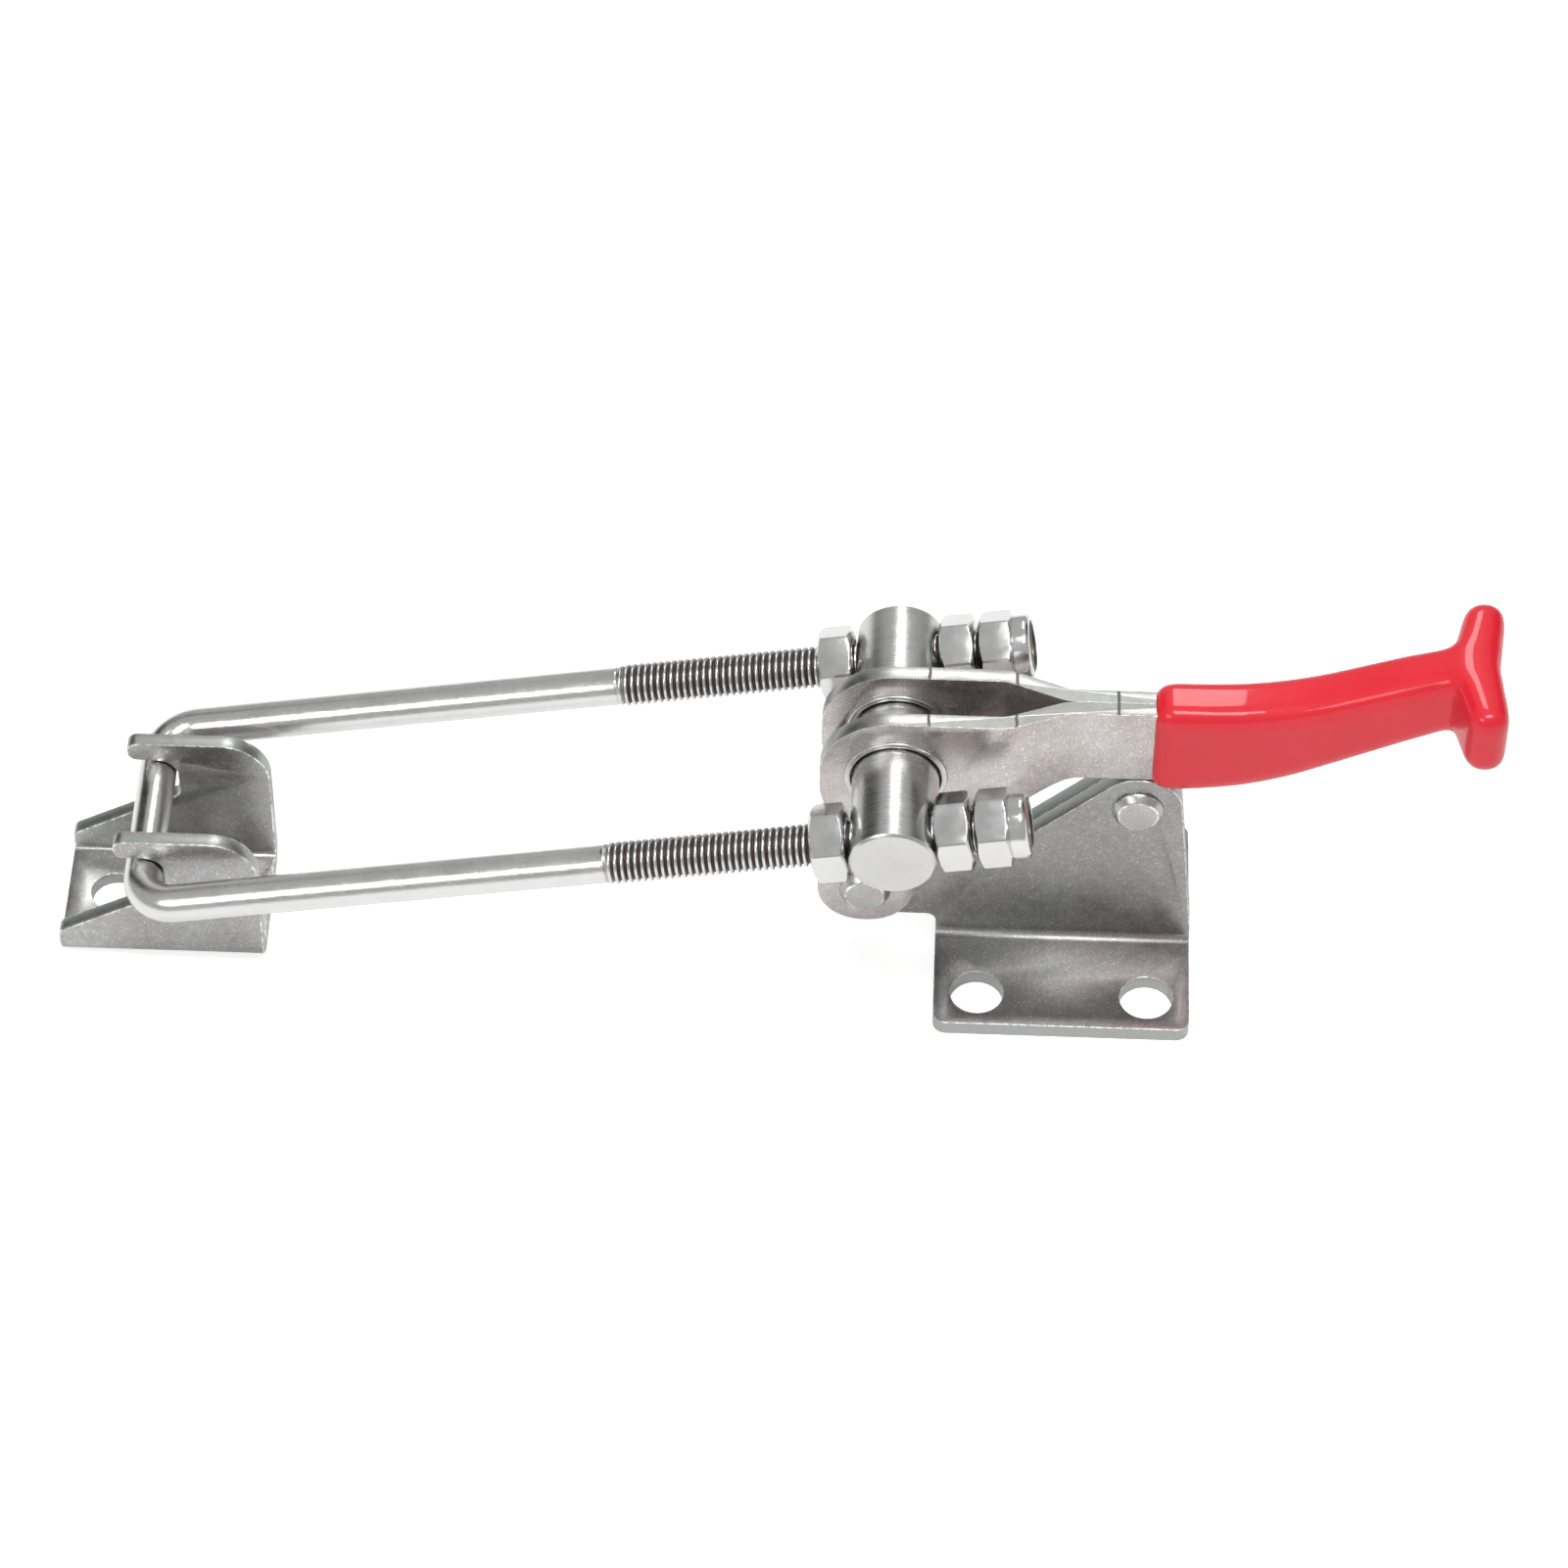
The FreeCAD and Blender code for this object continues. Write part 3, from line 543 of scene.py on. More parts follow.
FINISHES: Dict[Slot, object] = {
    Slot.BASE_STEEL: SheetSteel(
        "base_sheet_steel", (0.345, 0.35, 0.345), (0.33, 0.31, 0.305), (0.44, 0.465, 0.44),
        roughness=0.38, strength=0.5, bump=0.3),
    Slot.HANDLE_STEEL: SheetSteel(
        "handle_sheet_steel", (0.60, 0.57, 0.56), (0.50, 0.445, 0.425), (0.37, 0.39, 0.37),
        roughness=0.34, strength=0.55, bump=0.35, nicks=(-26.5, -10.5, 8.0)),
    Slot.LATCH_STEEL: SheetSteel(
        "latch_sheet_steel", (0.42, 0.425, 0.42), (0.40, 0.375, 0.37), (0.40, 0.42, 0.40),
        roughness=0.35, strength=0.5, bump=0.3),
    Slot.RIVET_STEEL: SheetSteel(
        "formed_rivet_steel", (0.50, 0.505, 0.50), (0.46, 0.45, 0.44), (0.80, 0.81, 0.80),
        roughness=0.30, strength=0.26, patch_scale=200.0, bump=0.16),
    Slot.TURNED_STEEL: LinedSteel(
        "turned_bar_steel", (0.64, 0.64, 0.63), (60.0, 5200.0, 60.0),
        roughness=0.28, strength=0.26, bump=0.14),
    Slot.NUT_STEEL: LinedSteel(
        "bright_nut_steel", (0.74, 0.74, 0.735), (300.0, 300.0, 300.0),
        roughness=0.13, strength=0.10, bump=0.05),
    # the rod's thread roots get a painted shade colour
    Slot.ROD_STEEL: LinedSteel(
        "drawn_rod_steel", (0.72, 0.72, 0.71), (900.0, 2200.0, 2200.0),
        roughness=0.21, strength=0.22, bump=0.55, painted_root_shade=(0.10, 0.075, 0.068)),
    # painted shade: the insert's colour is set darker than milky nylon, as the collar's opening is dark
    Slot.NYLON: PlainNylon("insert_nylon_painted_shade", (0.32, 0.32, 0.30)),
    Slot.RED_VINYL: DippedVinyl(
        "dipped_red_vinyl", (0.76, 0.016, 0.034), (0.71, 0.010, 0.024), roughness=0.42),
}


class Finishes:
    """Makes each finish once and puts it on meshes."""

    def __init__(self) -> None:
        """Start with no material made."""
        self.made: Dict[Slot, bpy.types.Material] = {}

    def put(self, piece: bpy.types.Object, slot: Slot) -> None:
        """Give a piece one finish all over.

        Args:
            piece: the mesh object.
            slot: which finish.
        """
        if slot not in self.made:
            self.made[slot] = FINISHES[slot].make()
        piece.data.materials.clear()
        piece.data.materials.append(self.made[slot])


FINISH = Finishes()


def link_object(piece: bpy.types.Object) -> bpy.types.Object:
    """Put an object in the scene."""
    bpy.context.scene.collection.objects.link(piece)
    return piece


def mesh_piece(name: str, points: Sequence[Vector], faces: Sequence[Sequence[int]],
               sharp_degrees: float = 35.0) -> bpy.types.Object:
    """Make a mesh object, smooth but for its sharp edges.

    Args:
        name: the piece's name.
        points: its vertices in the shared frame, in metres.
        faces: vertex numbers of each face.
        sharp_degrees: angle past which an edge stays sharp.

    Returns:
        The object.
    """
    mesh = bpy.data.meshes.new(name)
    mesh.from_pydata([tuple(point) for point in points], [], [tuple(face) for face in faces])
    mesh.update()
    smooth_mesh(mesh, sharp_degrees)
    return link_object(bpy.data.objects.new(name, mesh))


def smooth_mesh(mesh: bpy.types.Mesh, sharp_degrees: float) -> None:
    """Shade a mesh smooth and mark the edges past an angle as sharp."""
    for polygon in mesh.polygons:
        polygon.use_smooth = True
    mesh.set_sharp_from_angle(angle=math.radians(sharp_degrees))


def finish_piece(piece: bpy.types.Object, body: Body, slot: Slot, nodes: Sequence[str]) -> None:
    """Dress a piece, let it ride and let it stand for its CAD nodes.

    Args:
        piece: the new piece.
        body: the body it rides on.
        slot: its finish.
        nodes: the CAD nodes it stands for.
    """
    FINISH.put(piece, slot)
    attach(piece, body.value)
    if nodes:
        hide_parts(*nodes)
    LOG.info("made %s on %s with %d faces", piece.name, body.value, len(piece.data.polygons))


def applied(piece: bpy.types.Object) -> None:
    """Apply all of a piece's modifiers to its mesh."""
    bpy.context.view_layer.update()
    graph = bpy.context.evaluated_depsgraph_get()
    result = bpy.data.meshes.new_from_object(piece.evaluated_get(graph))
    piece.modifiers.clear()
    piece.data = result


def joint(name: str) -> Dict[str, object]:
    """Find a joint of the frame by name."""
    return next(item for item in frame["joints"] if item["name"] == name)


def clamped(value: float) -> float:
    """Hold a value between 0 and 1."""
    return min(1.0, max(0.0, value))


def eased(value: float, start: float, full: float) -> float:
    """Rise softly from 0 at a start to 1 at a full value."""
    share = clamped((value - start) / (full - start))
    return share * share * (3.0 - 2.0 * share)


def grid_faces(rows: int, columns: int, closed: bool) -> List[Tuple[int, ...]]:
    """Join rows of points, each of them a loop, with four-sided faces.

    Args:
        rows: number of rows.
        columns: points in each row.
        closed: whether the last row joins the first.

    Returns:
        The vertex numbers of each face.
    """
    faces = []
    for row in range(rows if closed else rows - 1):
        here, there = row * columns, (row + 1) % rows * columns
        for step in range(columns):
            after = (step + 1) % columns
            faces.append((here + step, here + after, there + after, there + step))
    return faces


@dataclass
class SoftenedPart:
    """A CAD node copied with its sharp edges broken, as tumbling leaves them."""

    node: str
    body: Body
    slot: Slot
    edge: float = 0.28 * MM
    segments: int = 2
    flat_degrees: float = 0.6
    sheet: float = 0.0
    thick_factor: float = 1.4
    probe_depth: float = 0.01 * MM
    open_bore: float = 0.0
    bore_share: float = 0.93
    sharp_degrees: float = 32.0

    def widen_bore(self, work: bmesh.types.BMesh) -> None:
        """Push the inner wall of a ring outwards, which shows the dark gap round the bar in it."""
        if self.open_bore <= 0.0:
            return
        low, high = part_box(self.node)
        middle = (low + high) / 2
        reach = (high.z - low.z) / 2
        for vertex in work.verts:
            out = Vector((vertex.co.x - middle.x, 0.0, vertex.co.z - middle.z))
            if out.length < reach * self.bore_share:
                vertex.co += out.normalized() * self.open_bore

    def mark_cut_faces(self, work: bmesh.types.BMesh) -> None:
        """Mark the faces that the metal behind is thicker than its sheet, where the sheet was cut."""
        marks = work.faces.layers.float.new("cut_face")
        if self.sheet <= 0.0:
            return
        solid = BVHTree.FromBMesh(work)
        largest: Dict[int, Tuple[float, Vector]] = {}
        for loops in work.calc_loop_triangles():
            first, second, third = (loop.vert.co for loop in loops)
            area = (second - first).cross(third - first).length
            number = loops[0].face.index
            if number not in largest or area > largest[number][0]:
                largest[number] = (area, (first + second + third) / 3)
        for face in work.faces:
            spot = largest[face.index][1] - face.normal * self.probe_depth
            depth = solid.ray_cast(spot, -face.normal)[3]
            thick = depth is None or depth > self.sheet * self.thick_factor
            face[marks] = 1.0 if thick else 0.0

    def break_edges(self, work: bmesh.types.BMesh) -> None:
        """Round the sharp edges and mark the new faces as burred; the sheet finishes paint a highlight where
        this mark lies.
        """
        burr_and_highlight = work.faces.layers.float.new("burr_and_highlight")
        limit = math.radians(self.sharp_degrees)
        sharp = [edge for edge in work.edges if edge.is_manifold and edge.calc_face_angle(0.0) > limit]
        made = bmesh.ops.bevel(work, geom=sharp, offset=self.edge, offset_type="OFFSET",
                               segments=self.segments, profile=0.5, affect="EDGES", clamp_overlap=True,
                               miter_outer="ARC")
        for face in made["faces"]:
            face[burr_and_highlight] = 1.0

    def make(self) -> bpy.types.Object:
        """Copy, clean and bevel the node's mesh."""
        source = frame["nodes"][self.node]
        work = bmesh.new()
        work.from_mesh(source.data)
        bmesh.ops.remove_doubles(work, verts=work.verts, dist=WELD)
        bmesh.ops.dissolve_limit(work, angle_limit=math.radians(self.flat_degrees), verts=work.verts,
                                 use_dissolve_boundaries=False, edges=work.edges, delimit=set())
        self.widen_bore(work)
        self.mark_cut_faces(work)
        self.break_edges(work)
        mesh = bpy.data.meshes.new(self.node + "_dressed")
        work.to_mesh(mesh)
        work.free()
        if "custom_normal" in mesh.attributes:
            mesh.attributes.remove(mesh.attributes["custom_normal"])
        piece = link_object(bpy.data.objects.new(self.node + "_dressed", mesh))
        smooth_mesh(mesh, self.sharp_degrees)
        finish_piece(piece, self.body, self.slot, [self.node])
        return piece


class PartSet:
    """A sub-assembly whose parts keep their CAD form and only lose their sharp edges."""

    def parts(self) -> List[SoftenedPart]:
        """List the parts."""
        raise NotImplementedError

    def make(self) -> None:
        """Dress every part."""
        for part in self.parts():
            part.make()


@dataclass(frozen=True)
class BaseFrame(PartSet):
    """The two base plates, back to back, and the rivets through them."""

    sheet: float = 3.2 * MM
    rivet_edge: float = 0.35 * MM

    def parts(self) -> List[SoftenedPart]:
        """List the plates and the rivets."""
        plates = [SoftenedPart("base_plate_" + side, Body.BASE, Slot.BASE_STEEL, sheet=self.sheet)
                  for side in SIDES]
        rivets = [SoftenedPart(use + "_rivet", Body.BASE, Slot.RIVET_STEEL, edge=self.rivet_edge, segments=3)
                  for use in ("pivot", "stop")]
        return plates + rivets


@dataclass(frozen=True)
class HandleLever(PartSet):
    """The two plates of the fork and strap, with the bushings that the trunnion turns in."""

    sheet: float = 3.0 * MM
    bushing_edge: float = 0.3 * MM
    bushing_gap: float = 0.3 * MM

    def parts(self) -> List[SoftenedPart]:
        """List the plates and the bushings."""
        plates = [SoftenedPart("handle_plate_" + side, Body.HANDLE, Slot.HANDLE_STEEL, sheet=self.sheet)
                  for side in SIDES]
        bushings = [SoftenedPart("bushing_" + side, Body.HANDLE, Slot.TURNED_STEEL, edge=self.bushing_edge,
                                 segments=3, open_bore=self.bushing_gap) for side in SIDES]
        return plates + bushings


@dataclass(frozen=True)
class LatchPlate(PartSet):
    """The pressed channel whose notches hold the rod."""

    sheet: float = 3.0 * MM

    def parts(self) -> List[SoftenedPart]:
        """List the plate."""
        return [SoftenedPart("latch_plate", Body.HOOK, Slot.LATCH_STEEL, sheet=self.sheet)]


@dataclass(frozen=True)
class Trunnion(PartSet):
    """The cross bar that both legs pass through."""

    edge: float = 0.25 * MM

    def parts(self) -> List[SoftenedPart]:
        """List the bar."""
        return [SoftenedPart("trunnion", Body.TRUNNION, Slot.TURNED_STEEL, edge=self.edge)]


@dataclass
class LegFrame:
    """Local frame of the U-bolt: origin on the trunnion's axis, X along the legs, Y across the clamp."""

    origin: Vector = field(default_factory=lambda: Vector(joint("trunnion_swivel")["pos_m"]))
    along: Vector = field(default_factory=lambda: Vector(joint("hook_adjust")["axis"]).normalized())
    leg_y: float = field(default_factory=lambda: sum(corner.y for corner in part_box("inner_nut_far")) / 2)

    def matrix(self) -> Matrix:
        """Turn local points into the shared frame."""
        across = Vector((0.0, 1.0, 0.0))
        up = self.along.cross(across)
        turn = Matrix((self.along, across, up)).transposed().to_4x4()
        return Matrix.Translation(self.origin) @ turn

    def local(self, point: Vector) -> Vector:
        """Bring a point of the shared frame into the local frame."""
        return self.matrix().inverted() @ point


class Ring(NamedTuple):
    """One ring of points round the rod, in the legs' local frame."""

    centre: Vector
    side: Vector
    distance: float
    leg: int


@dataclass
class UBolt:
    """The bent rod with a real helical thread on each leg."""

    legs: LegFrame
    shank_radius: float = 3.55 * MM
    crest_radius: float = 3.93 * MM
    root_radius: float = 3.32 * MM
    pitch: float = 1.25 * MM
    thread_start: float = -53.9 * MM
    rod_end: float = 21.0 * MM
    bend_radius: float = 7.0 * MM
    reach: float = 142.0 * MM
    around: int = 40
    steps_per_turn: int = 10
    bend_steps: int = 14
    shank_steps: int = 24
    hook_steps: int = 9
    runout: float = 2.2 * MM
    end_bevel: float = 0.9 * MM
    end_share: float = 0.93
    root_flat: float = 0.14
    flank: float = 0.62
    root_shade: float = 1.35

    def thread_radius(self, along: float, turn: float) -> Tuple[float, float]:
        """Radius of the thread and how deep in the root it is.

        Args:
            along: distance along the leg.
            turn: angle around it, from 0 to 1.

        Returns:
            The radius and a root mark from 0 to 1, which places the painted shade in the root.
        """
        phase = (along / self.pitch - turn) % 1.0
        height = eased(abs(2.0 * phase - 1.0), self.root_flat, self.root_flat + self.flank)
        radius = self.root_radius + (self.crest_radius - self.root_radius) * height
        fade = clamped((along - self.thread_start) / self.runout)
        radius = self.shank_radius + (radius - self.shank_radius) * fade
        end_radius = self.root_radius * self.end_share
        end = clamped((self.rod_end - along) / self.end_bevel)
        widest = end_radius + (self.crest_radius - end_radius) * end
        return min(radius, widest), min(1.0, self.root_shade * (1.0 - height)) * fade

    def leg_rings(self, side: int, leg: int) -> List[Ring]:
        """Rings of one leg, from its threaded end to its bend.

        Args:
            side: -1 for the near leg and 1 for the far one.
            leg: the leg's number, from 1.

        Returns:
            The rings; those of the plain shank have leg number 0.
        """
        length = self.rod_end - self.thread_start
        shank = self.bend_radius - self.reach - self.thread_start
        turns = int(round(length / self.pitch * self.steps_per_turn))
        across, out = side * self.legs.leg_y, Vector((0, side, 0))
        found = []
        for step in range(turns + 1):
            distance = self.rod_end - length * step / turns
            found.append(Ring(Vector((distance, across, 0)), out, distance, leg))
        for step in range(1, self.shank_steps + 1):
            distance = self.thread_start + shank * step / self.shank_steps
            found.append(Ring(Vector((distance, across, 0)), out, 0.0, 0))
        return found

    def bend_rings(self, side: int) -> List[Ring]:
        """Rings of the bend on one side, in the order from the near leg to the far leg."""
        centre = Vector((self.bend_radius - self.reach, side * (self.legs.leg_y - self.bend_radius), 0))
        found = []
        for step in range(1, self.bend_steps + 1):
            share = step if side < 0 else self.bend_steps + 1 - step
            angle = math.pi / 2 * share / self.bend_steps
            out = Vector((-math.sin(angle), side * math.cos(angle), 0))
            found.append(Ring(centre + out * self.bend_radius, out, 0.0, 0))
        return found

    def rings(self) -> List[Ring]:
        """Rings along the whole rod, from the near leg's end round the hook to the far leg's end."""
        half = self.legs.leg_y - self.bend_radius
        hook = [Ring(Vector((-self.reach, -half + 2 * half * step / self.hook_steps, 0)),
                     Vector((-1, 0, 0)), 0.0, 0) for step in range(1, self.hook_steps)]
        near, far = self.leg_rings(SIDES["near"], 1), self.leg_rings(SIDES["far"], 2)
        return near + self.bend_rings(SIDES["near"]) + hook + self.bend_rings(SIDES["far"]) + far[::-1]

    def make(self) -> None:
        """Sweep the rod, cap its ends and mark its thread roots, where the rod's finish paints shade."""
        matrix = self.legs.matrix()
        points: List[Vector] = []
        marks: List[float] = []
        rings = self.rings()
        up = Vector((0.0, 0.0, 1.0))
        for ring in rings:
            for step in range(self.around):
                turn = step / self.around
                radius, mark = self.shank_radius, 0.0
                if ring.leg:
                    handed = turn if ring.leg == 1 else 1.0 - turn
                    radius, mark = self.thread_radius(ring.distance, handed)
                angle = 2 * math.pi * turn
                outwards = ring.side * math.cos(angle) + up * math.sin(angle)
                points.append(matrix @ (ring.centre + outwards * radius))
                marks.append(mark)
        faces = grid_faces(len(rings), self.around, closed=False)
        last = (len(rings) - 1) * self.around
        faces.append(tuple(range(self.around)))
        faces.append(tuple(last + step for step in reversed(range(self.around))))
        piece = mesh_piece("u_bolt_rod", points, faces, 60.0)
        repair_normals(piece.data)
        layer = piece.data.attributes.new("thread_root", "FLOAT", "POINT")
        layer.data.foreach_set("value", marks)
        finish_piece(piece, Body.HOOK, Slot.ROD_STEEL, ["u_bolt"])


def repair_normals(mesh: bpy.types.Mesh) -> None:
    """Point every face of a closed mesh outwards."""
    work = bmesh.new()
    work.from_mesh(mesh)
    bmesh.ops.recalc_face_normals(work, faces=work.faces)
    work.to_mesh(mesh)
    work.free()
    mesh.update()


@dataclass
class HexNut:
    """A hexagon nut turned from its profile: bevelled corners, eased edges and a countersunk bore."""

    name: str
    node: str
    legs: LegFrame
    side: int
    start: float
    height: float = 6.5 * MM
    flats: float = 13.0 * MM
    bore: float = 4.03 * MM
    face_inset: float = 0.45 * MM
    bevel_degrees: float = 30.0
    sink: float = 0.55 * MM
    collar: bool = False
    collar_height: float = 3.3 * MM
    collar_radius: float = 6.1 * MM
    collar_lip: float = 4.8 * MM
    collar_wall: float = 0.8 * MM
    collar_round: float = 1.1 * MM
    collar_inset: float = 0.85 * MM
    collar_drop: float = 0.6
    round_steps: int = 6
    per_side: int = 16
    corner_ease: float = 0.35 * MM
    corner_share: float = 0.35
    ease: float = 0.12 * MM
    sharp_degrees: float = 28.0

    def hexagon_radius(self, angle: float) -> float:
        """Distance to the hexagon's side at an angle, eased at its corners."""
        inner = self.flats / 2
        local = (angle + math.pi / 6) % (math.pi / 3) - math.pi / 6
        radius = inner / math.cos(local)
        limit = inner / math.cos(math.pi / 6) - self.corner_ease * self.corner_share
        return min(radius, limit)

    def profile(self, angle: float) -> List[Tuple[float, float]]:
        """Section of the nut at an angle, as (along, radius) points from bore to bore.

        Args:
            angle: angle about the nut's axis.

        Returns:
            The section's points.
        """
        outer = self.hexagon_radius(angle)
        face = self.flats / 2 - self.face_inset
        drop = max(0.0, outer - face) * math.tan(math.radians(self.bevel_degrees))
        ease = self.ease
        start = [(self.sink, self.bore), (0.0, self.bore + self.sink), (0.0, face - ease),
                 (ease * 0.25, face + ease * 0.4), (drop * 0.5 + ease * 0.2, face + (outer - face) * 0.5),
                 (drop + ease * 0.35, outer - ease * 0.1), (drop + ease * 1.4, outer)]
        if self.collar:
            return start + self.collar_profile(outer, face, drop * self.collar_drop)
        return start + [(self.height - along, radius) for along, radius in reversed(start)]

    def collar_profile(self, outer: float, face: float, drop: float) -> List[Span]:
        """Section of the collar's end: the hexagon's edge, the rounded collar and the seat of the insert.

        Args:
            outer: the hexagon's radius at this angle.
            face: radius of the flat face.
            drop: how far the bevel runs along the nut.

        Returns:
            The section's points.
        """
        end, ease, radius, wall = self.height, self.ease, self.collar_radius, self.collar_wall
        top, lip = end + self.collar_height, self.collar_lip
        points = [(end - drop - ease * 1.4, outer), (end - drop - ease * 0.3, outer - ease * 0.1),
                  (end - drop * 0.4, face + (outer - face) * 0.4), (end, face * 0.985),
                  (end + 0.25 * MM, radius), (top - self.collar_round, radius)]
        for step in range(1, self.round_steps + 1):
            bend = math.pi / 2 * step / self.round_steps
            points.append((top - self.collar_round * (1.0 - math.sin(bend)),
                           radius - self.collar_inset * (1.0 - math.cos(bend))))
        points += [(top, lip + 0.1 * MM), (top - 0.1 * MM, lip), (top - wall, lip + 0.05 * MM),
                   (end, radius - wall * 1.15), (end - 0.05 * MM, self.bore)]
        return points

    def make(self) -> None:
        """Build the nut around its leg."""
        matrix = self.legs.matrix()
        count = self.per_side * 6
        points: List[Vector] = []
        for i in range(count):
            angle = 2 * math.pi * (i + 0.5) / count
            section = self.profile(angle)
            for along, radius in section:
                across = self.side * self.legs.leg_y + radius * math.cos(angle)
                points.append(matrix @ Vector((self.start + along, across, radius * math.sin(angle))))
        faces = grid_faces(count, len(section), closed=True)
        piece = mesh_piece(self.name, points, faces, self.sharp_degrees)
        repair_normals(piece.data)
        smooth_mesh(piece.data, self.sharp_degrees)
        finish_piece(piece, Body.TRUNNION, Slot.NUT_STEEL, [self.node])


@dataclass
class NutSet:
    """All six nuts and the two inserts, placed from the CAD nodes they stand for."""

    legs: LegFrame
    plain_height: float = 6.5 * MM
    lock_hex: float = 6.2 * MM
    lock_gap: float = 0.8 * MM
    insert_edge: float = 0.15 * MM

    def start_of(self, node: str) -> float:
        """Where a plain nut begins along its leg, from the middle of its CAD box and its height."""
        low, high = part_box(node)
        return self.legs.local((low + high) / 2).x - self.plain_height / 2

    def make(self) -> None:
        """Build every nut and dress the inserts."""
        for word, side in SIDES.items():
            for kind in ("inner_nut", "outer_nut"):
                node = "%s_%s" % (kind, word)
                HexNut(node + "_turned", node, self.legs, side, self.start_of(node),
                       height=self.plain_height).make()
            node = "lock_nut_" + word
            start = self.start_of("outer_nut_" + word) + self.plain_height + self.lock_gap
            HexNut(node + "_turned", node, self.legs, side, start, height=self.lock_hex, collar=True).make()
            SoftenedPart("lock_insert_" + word, Body.TRUNNION, Slot.NYLON, edge=self.insert_edge).make()


@dataclass
class Grip:
    """The dipped grip: the CAD solid filled, remeshed and relaxed, so that vinyl runs round every edge."""

    node: str = "grip"
    core_nodes: Tuple[str, str] = ("handle_plate_near", "handle_plate_far")
    voxel: float = 0.55 * MM
    relax: int = 42
    swell: float = 0.55 * MM
    lengthen: float = 2.1 * MM
    lengthen_over: float = 14.0 * MM
    tip_from: float = 58.0 * MM
    tip_full: float = 68.0 * MM
    core_inset: float = 0.6 * MM
    core_growth: float = 0.3 * MM

    def core(self, start: float) -> List[bmesh.types.BMesh]:
        """Cut the strap's two sheets off at the grip's start, grown a little so that they fill it.

        Args:
            start: X of the grip's open end.

        Returns:
            One closed mesh for each sheet.
        """
        pieces = []
        for name in self.core_nodes:
            work = bmesh.new()
            work.from_mesh(frame["nodes"][name].data)
            bmesh.ops.remove_doubles(work, verts=work.verts, dist=WELD)
            parts = list(work.verts) + list(work.edges) + list(work.faces)
            cut = bmesh.ops.bisect_plane(work, geom=parts, plane_co=(start + self.core_inset, 0, 0),
                                         plane_no=(1, 0, 0), clear_inner=True)
            rim = [item for item in cut["geom_cut"] if isinstance(item, bmesh.types.BMEdge)]
            bmesh.ops.holes_fill(work, edges=rim)
            bmesh.ops.recalc_face_normals(work, faces=work.faces)
            for vertex in work.verts:
                vertex.co += vertex.normal * self.core_growth
            pieces.append(work)
        return pieces

    def largest_shell(self, mesh: bpy.types.Mesh) -> None:
        """Keep only the outer skin of a remeshed body."""
        work = bmesh.new()
        work.from_mesh(mesh)
        left, shells = set(work.verts), []
        while left:
            stack, shell = [left.pop()], []
            while stack:
                vertex = stack.pop()
                shell.append(vertex)
                for edge in vertex.link_edges:
                    other = edge.other_vert(vertex)
                    if other in left:
                        left.discard(other)
                        stack.append(other)
            shells.append(shell)
        shells.sort(key=lambda shell: max(vertex.co.x for vertex in shell))
        for shell in shells[:-1]:
            bmesh.ops.delete(work, geom=shell, context="VERTS")
        work.to_mesh(mesh)
        work.free()
        LOG.info("grip skin kept from %d shells", len(shells))

    def fit_to_solid(self, mesh: bpy.types.Mesh) -> None:
        """Bring the relaxed form back to the CAD solid's reach and make its start longer."""
        low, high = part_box(self.node)
        points = [vertex.co.copy() for vertex in mesh.vertices]
        reach_x, reach_z = max(point.x for point in points), max(point.z for point in points)
        reach_y = max(abs(point.y) for point in points)
        start = min(point.x for point in points)
        for vertex in mesh.vertices:
            place = vertex.co
            tip = eased(place.x, self.tip_from, self.tip_full)
            front = max(0.0, 1.0 - (place.x - start) / self.lengthen_over)
            place.y *= 1.0 + (high.y / reach_y - 1.0) * tip
            place.z += (high.z - reach_z) * tip
            place.x += (high.x - reach_x) * tip - (self.lengthen + start - low.x) * front

    def make(self) -> None:
        """Copy the solid, remesh it and smooth it."""
        mesh = bpy.data.meshes.new("grip_vinyl")
        work = bmesh.new()
        work.from_mesh(frame["nodes"][self.node].data)
        bmesh.ops.remove_doubles(work, verts=work.verts, dist=WELD)
        for filling in self.core(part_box(self.node)[0].x):
            spare = bpy.data.meshes.new("grip_core")
            filling.to_mesh(spare)
            filling.free()
            work.from_mesh(spare)
            bpy.data.meshes.remove(spare)
        work.to_mesh(mesh)
        work.free()
        for name in ("custom_normal", "sharp_face", "sharp_edge"):
            if name in mesh.attributes:
                mesh.attributes.remove(mesh.attributes[name])
        piece = link_object(bpy.data.objects.new("grip_vinyl", mesh))
        remesh = piece.modifiers.new("skin", "REMESH")
        remesh.mode = "VOXEL"
        remesh.voxel_size = self.voxel
        applied(piece)
        self.largest_shell(piece.data)
        swell = piece.modifiers.new("swell", "DISPLACE")
        swell.strength = self.swell
        swell.mid_level = 0.0
        smooth = piece.modifiers.new("relax", "SMOOTH")
        smooth.factor = 0.5
        smooth.iterations = self.relax
        applied(piece)
        self.fit_to_solid(piece.data)
        for polygon in piece.data.polygons:
            polygon.use_smooth = True
        finish_piece(piece, Body.HANDLE, Slot.RED_VINYL, [self.node])


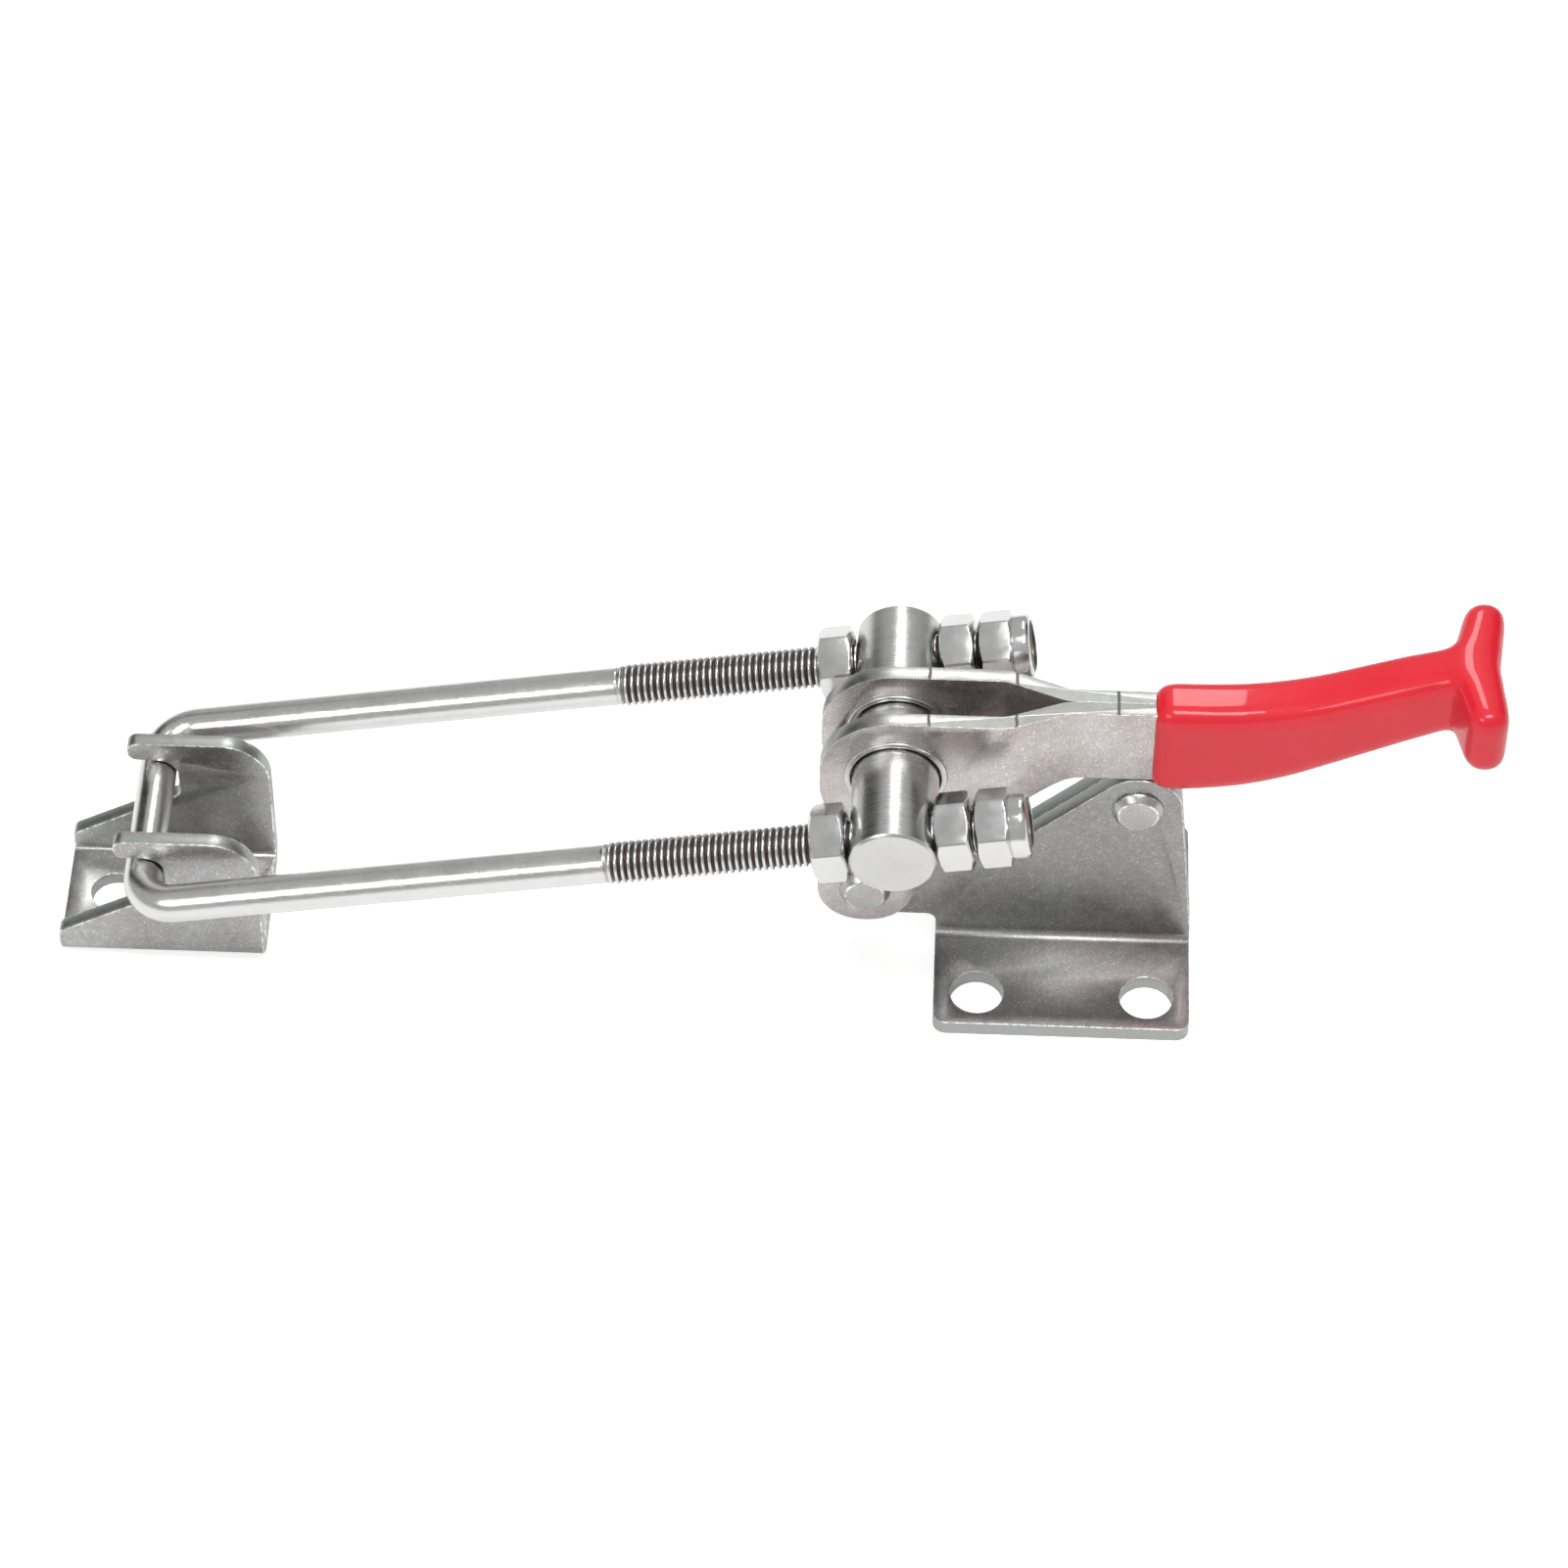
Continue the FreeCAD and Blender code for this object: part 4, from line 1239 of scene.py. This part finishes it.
@dataclass(frozen=True)
class PhotoCamera:
    """Camera fitted to the photograph: angles in degrees, lengths in millimetres."""

    azimuth: float = 2.04
    elevation: float = 48.65
    roll: float = 0.32
    focal_pixels: float = 6300.0
    aim_right: float = -52.9
    aim_up: float = 27.93
    distance: float = 1172.9

    def make(self) -> None:
        """Put the camera in the scene."""
        turn, lift, roll = (math.radians(value) for value in (self.azimuth, self.elevation, self.roll))
        look = Vector((-math.sin(turn) * math.cos(lift), math.cos(turn) * math.cos(lift), -math.sin(lift)))
        right = Vector((math.cos(turn), math.sin(turn), 0.0))
        up = right.cross(look)
        rolled_right = right * math.cos(roll) + up * math.sin(roll)
        rolled_up = up * math.cos(roll) - right * math.sin(roll)
        place = (right * self.aim_right + up * self.aim_up - look * self.distance) * MM
        data = bpy.data.cameras.new("photo_camera")
        data.sensor_width = SENSOR_MM
        data.lens = self.focal_pixels / PHOTO_PIXELS * SENSOR_MM
        data.clip_start = 0.01
        camera = link_object(bpy.data.objects.new("photo_camera", data))
        turned = Matrix((rolled_right, rolled_up, -look)).transposed().to_4x4()
        camera.matrix_world = Matrix.Translation(place) @ turned
        bpy.context.scene.camera = camera


@dataclass(frozen=True)
class Softbox:
    """A soft area lamp aimed at the clamp."""

    name: str
    place: Point
    size: Tuple[float, float]
    power: float
    aim: Point = (-0.05, 0.0, 0.03)

    def make(self) -> None:
        """Put the lamp in the scene."""
        data = bpy.data.lights.new(self.name, "AREA")
        data.shape = "RECTANGLE"
        data.size, data.size_y = self.size
        data.energy = self.power
        lamp = link_object(bpy.data.objects.new(self.name, data))
        direction = Vector(self.aim) - Vector(self.place)
        lamp.matrix_world = Matrix.Translation(Vector(self.place)) @ direction.to_track_quat(
            "-Z", "Y").to_matrix().to_4x4()


@dataclass
class Studio:
    """White floor and surround with soft lamps and two dark cards that shape the reflections."""

    floor_size: float = 6.0
    floor_colour: Colour = (0.93, 0.93, 0.93)
    floor_glow: float = 0.55
    floor_mirrored: float = 0.12
    card_colour: Colour = (0.03, 0.03, 0.03)
    matt: float = 0.9
    world_level: float = 0.47
    square: Tuple[Tuple[int, int], ...] = ((-1, -1), (1, -1), (1, 1), (-1, 1))
    lamps: Tuple[Softbox, ...] = (
        Softbox("top_box", (0.05, -0.30, 1.30), (0.60, 0.40), 8.0),
        Softbox("key_box", (-0.75, -0.85, 0.95), (0.6, 0.4), 3.6),
        Softbox("back_box", (-0.02, 0.80, 0.98), (0.22, 0.60), 3.0),
    )
    cards: Tuple[Tuple[str, Point, Point, Tuple[float, float]], ...] = (
        ("left_card", (-0.75, 0.55, 0.50), (90.0, 0.0, 60.0), (0.55, 0.8)),
        ("right_card", (0.75, 0.55, 0.50), (90.0, 0.0, -60.0), (0.55, 0.8)),
    )

    def make(self) -> None:
        """Build floor, surround, cards and lamps."""
        self.make_floor()
        self.make_world()
        self.make_cards()
        for lamp in self.lamps:
            lamp.make()

    def make_floor(self) -> None:
        """A matt floor that the camera sees as white where no shadow falls."""
        half = self.floor_size / 2
        corners = [Vector((x * half, y * half, 0.0)) for x, y in self.square]
        floor = mesh_piece("studio_floor", corners, [(0, 1, 2, 3)])
        material, tree, shader = new_material("floor_paper")
        set_inputs(shader, {"Base Color": self.floor_colour, "Roughness": self.matt,
                            "Specular IOR Level": 0.1})
        glow = tree.nodes.new("ShaderNodeEmission")
        set_inputs(glow, {"Color": (1.0, 1.0, 1.0)})
        path = tree.nodes.new("ShaderNodeLightPath")
        shown = math_node(tree, "MULTIPLY", path.outputs["Is Camera Ray"], self.floor_glow)
        mirrored = math_node(tree, "MULTIPLY", path.outputs["Is Glossy Ray"], self.floor_mirrored)
        link(tree, math_node(tree, "ADD", shown, mirrored), glow.inputs["Strength"])
        both = tree.nodes.new("ShaderNodeAddShader")
        link(tree, shader.outputs[0], both.inputs[0])
        link(tree, glow.outputs[0], both.inputs[1])
        link(tree, both.outputs[0], tree.nodes["Material Output"].inputs["Surface"])
        floor.data.materials.append(material)

    def make_world(self) -> None:
        """An even surround, white where the camera or a transmission ray looks at it, dimmer elsewhere."""
        world = bpy.data.worlds.new("studio")
        bpy.context.scene.world = world
        world.use_nodes = True
        tree = world.node_tree
        back = tree.nodes["Background"]
        set_inputs(back, {"Color": (1.0, 1.0, 1.0)})
        path = tree.nodes.new("ShaderNodeLightPath")
        seen = math_node(tree, "MAXIMUM", path.outputs["Is Camera Ray"], path.outputs["Is Transmission Ray"])
        level = math_node(tree, "ADD", math_node(tree, "MULTIPLY", seen, 1.0 - self.world_level),
                          self.world_level)
        link(tree, level, back.inputs["Strength"])

    def make_cards(self) -> None:
        """Dark cards outside the view."""
        material, _, shader = new_material("dark_card")
        set_inputs(shader, {"Base Color": self.card_colour, "Roughness": self.matt})
        for name, place, turn, (wide, tall) in self.cards:
            matrix = Matrix.Translation(Vector(place)) @ Euler(
                [math.radians(value) for value in turn]).to_matrix().to_4x4()
            corners = [matrix @ Vector((x * wide / 2, y * tall / 2, 0.0)) for x, y in self.square]
            card = mesh_piece(name, corners, [(0, 1, 2, 3)])
            card.data.materials.append(material)
            card.visible_camera = False
            card.visible_shadow = False


def main() -> None:
    """Build the scene in order."""
    logging.basicConfig(level=logging.INFO, format="%(name)s: %(message)s")
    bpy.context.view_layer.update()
    PhotoCamera().make()
    Studio().make()
    for assembly in (BaseFrame(), HandleLever(), LatchPlate(), Trunnion()):
        assembly.make()
    legs = LegFrame()
    UBolt(legs).make()
    NutSet(legs).make()
    Grip().make()
    bpy.context.scene.view_settings.view_transform = "Standard"


if __name__ == "__main__":
    main()
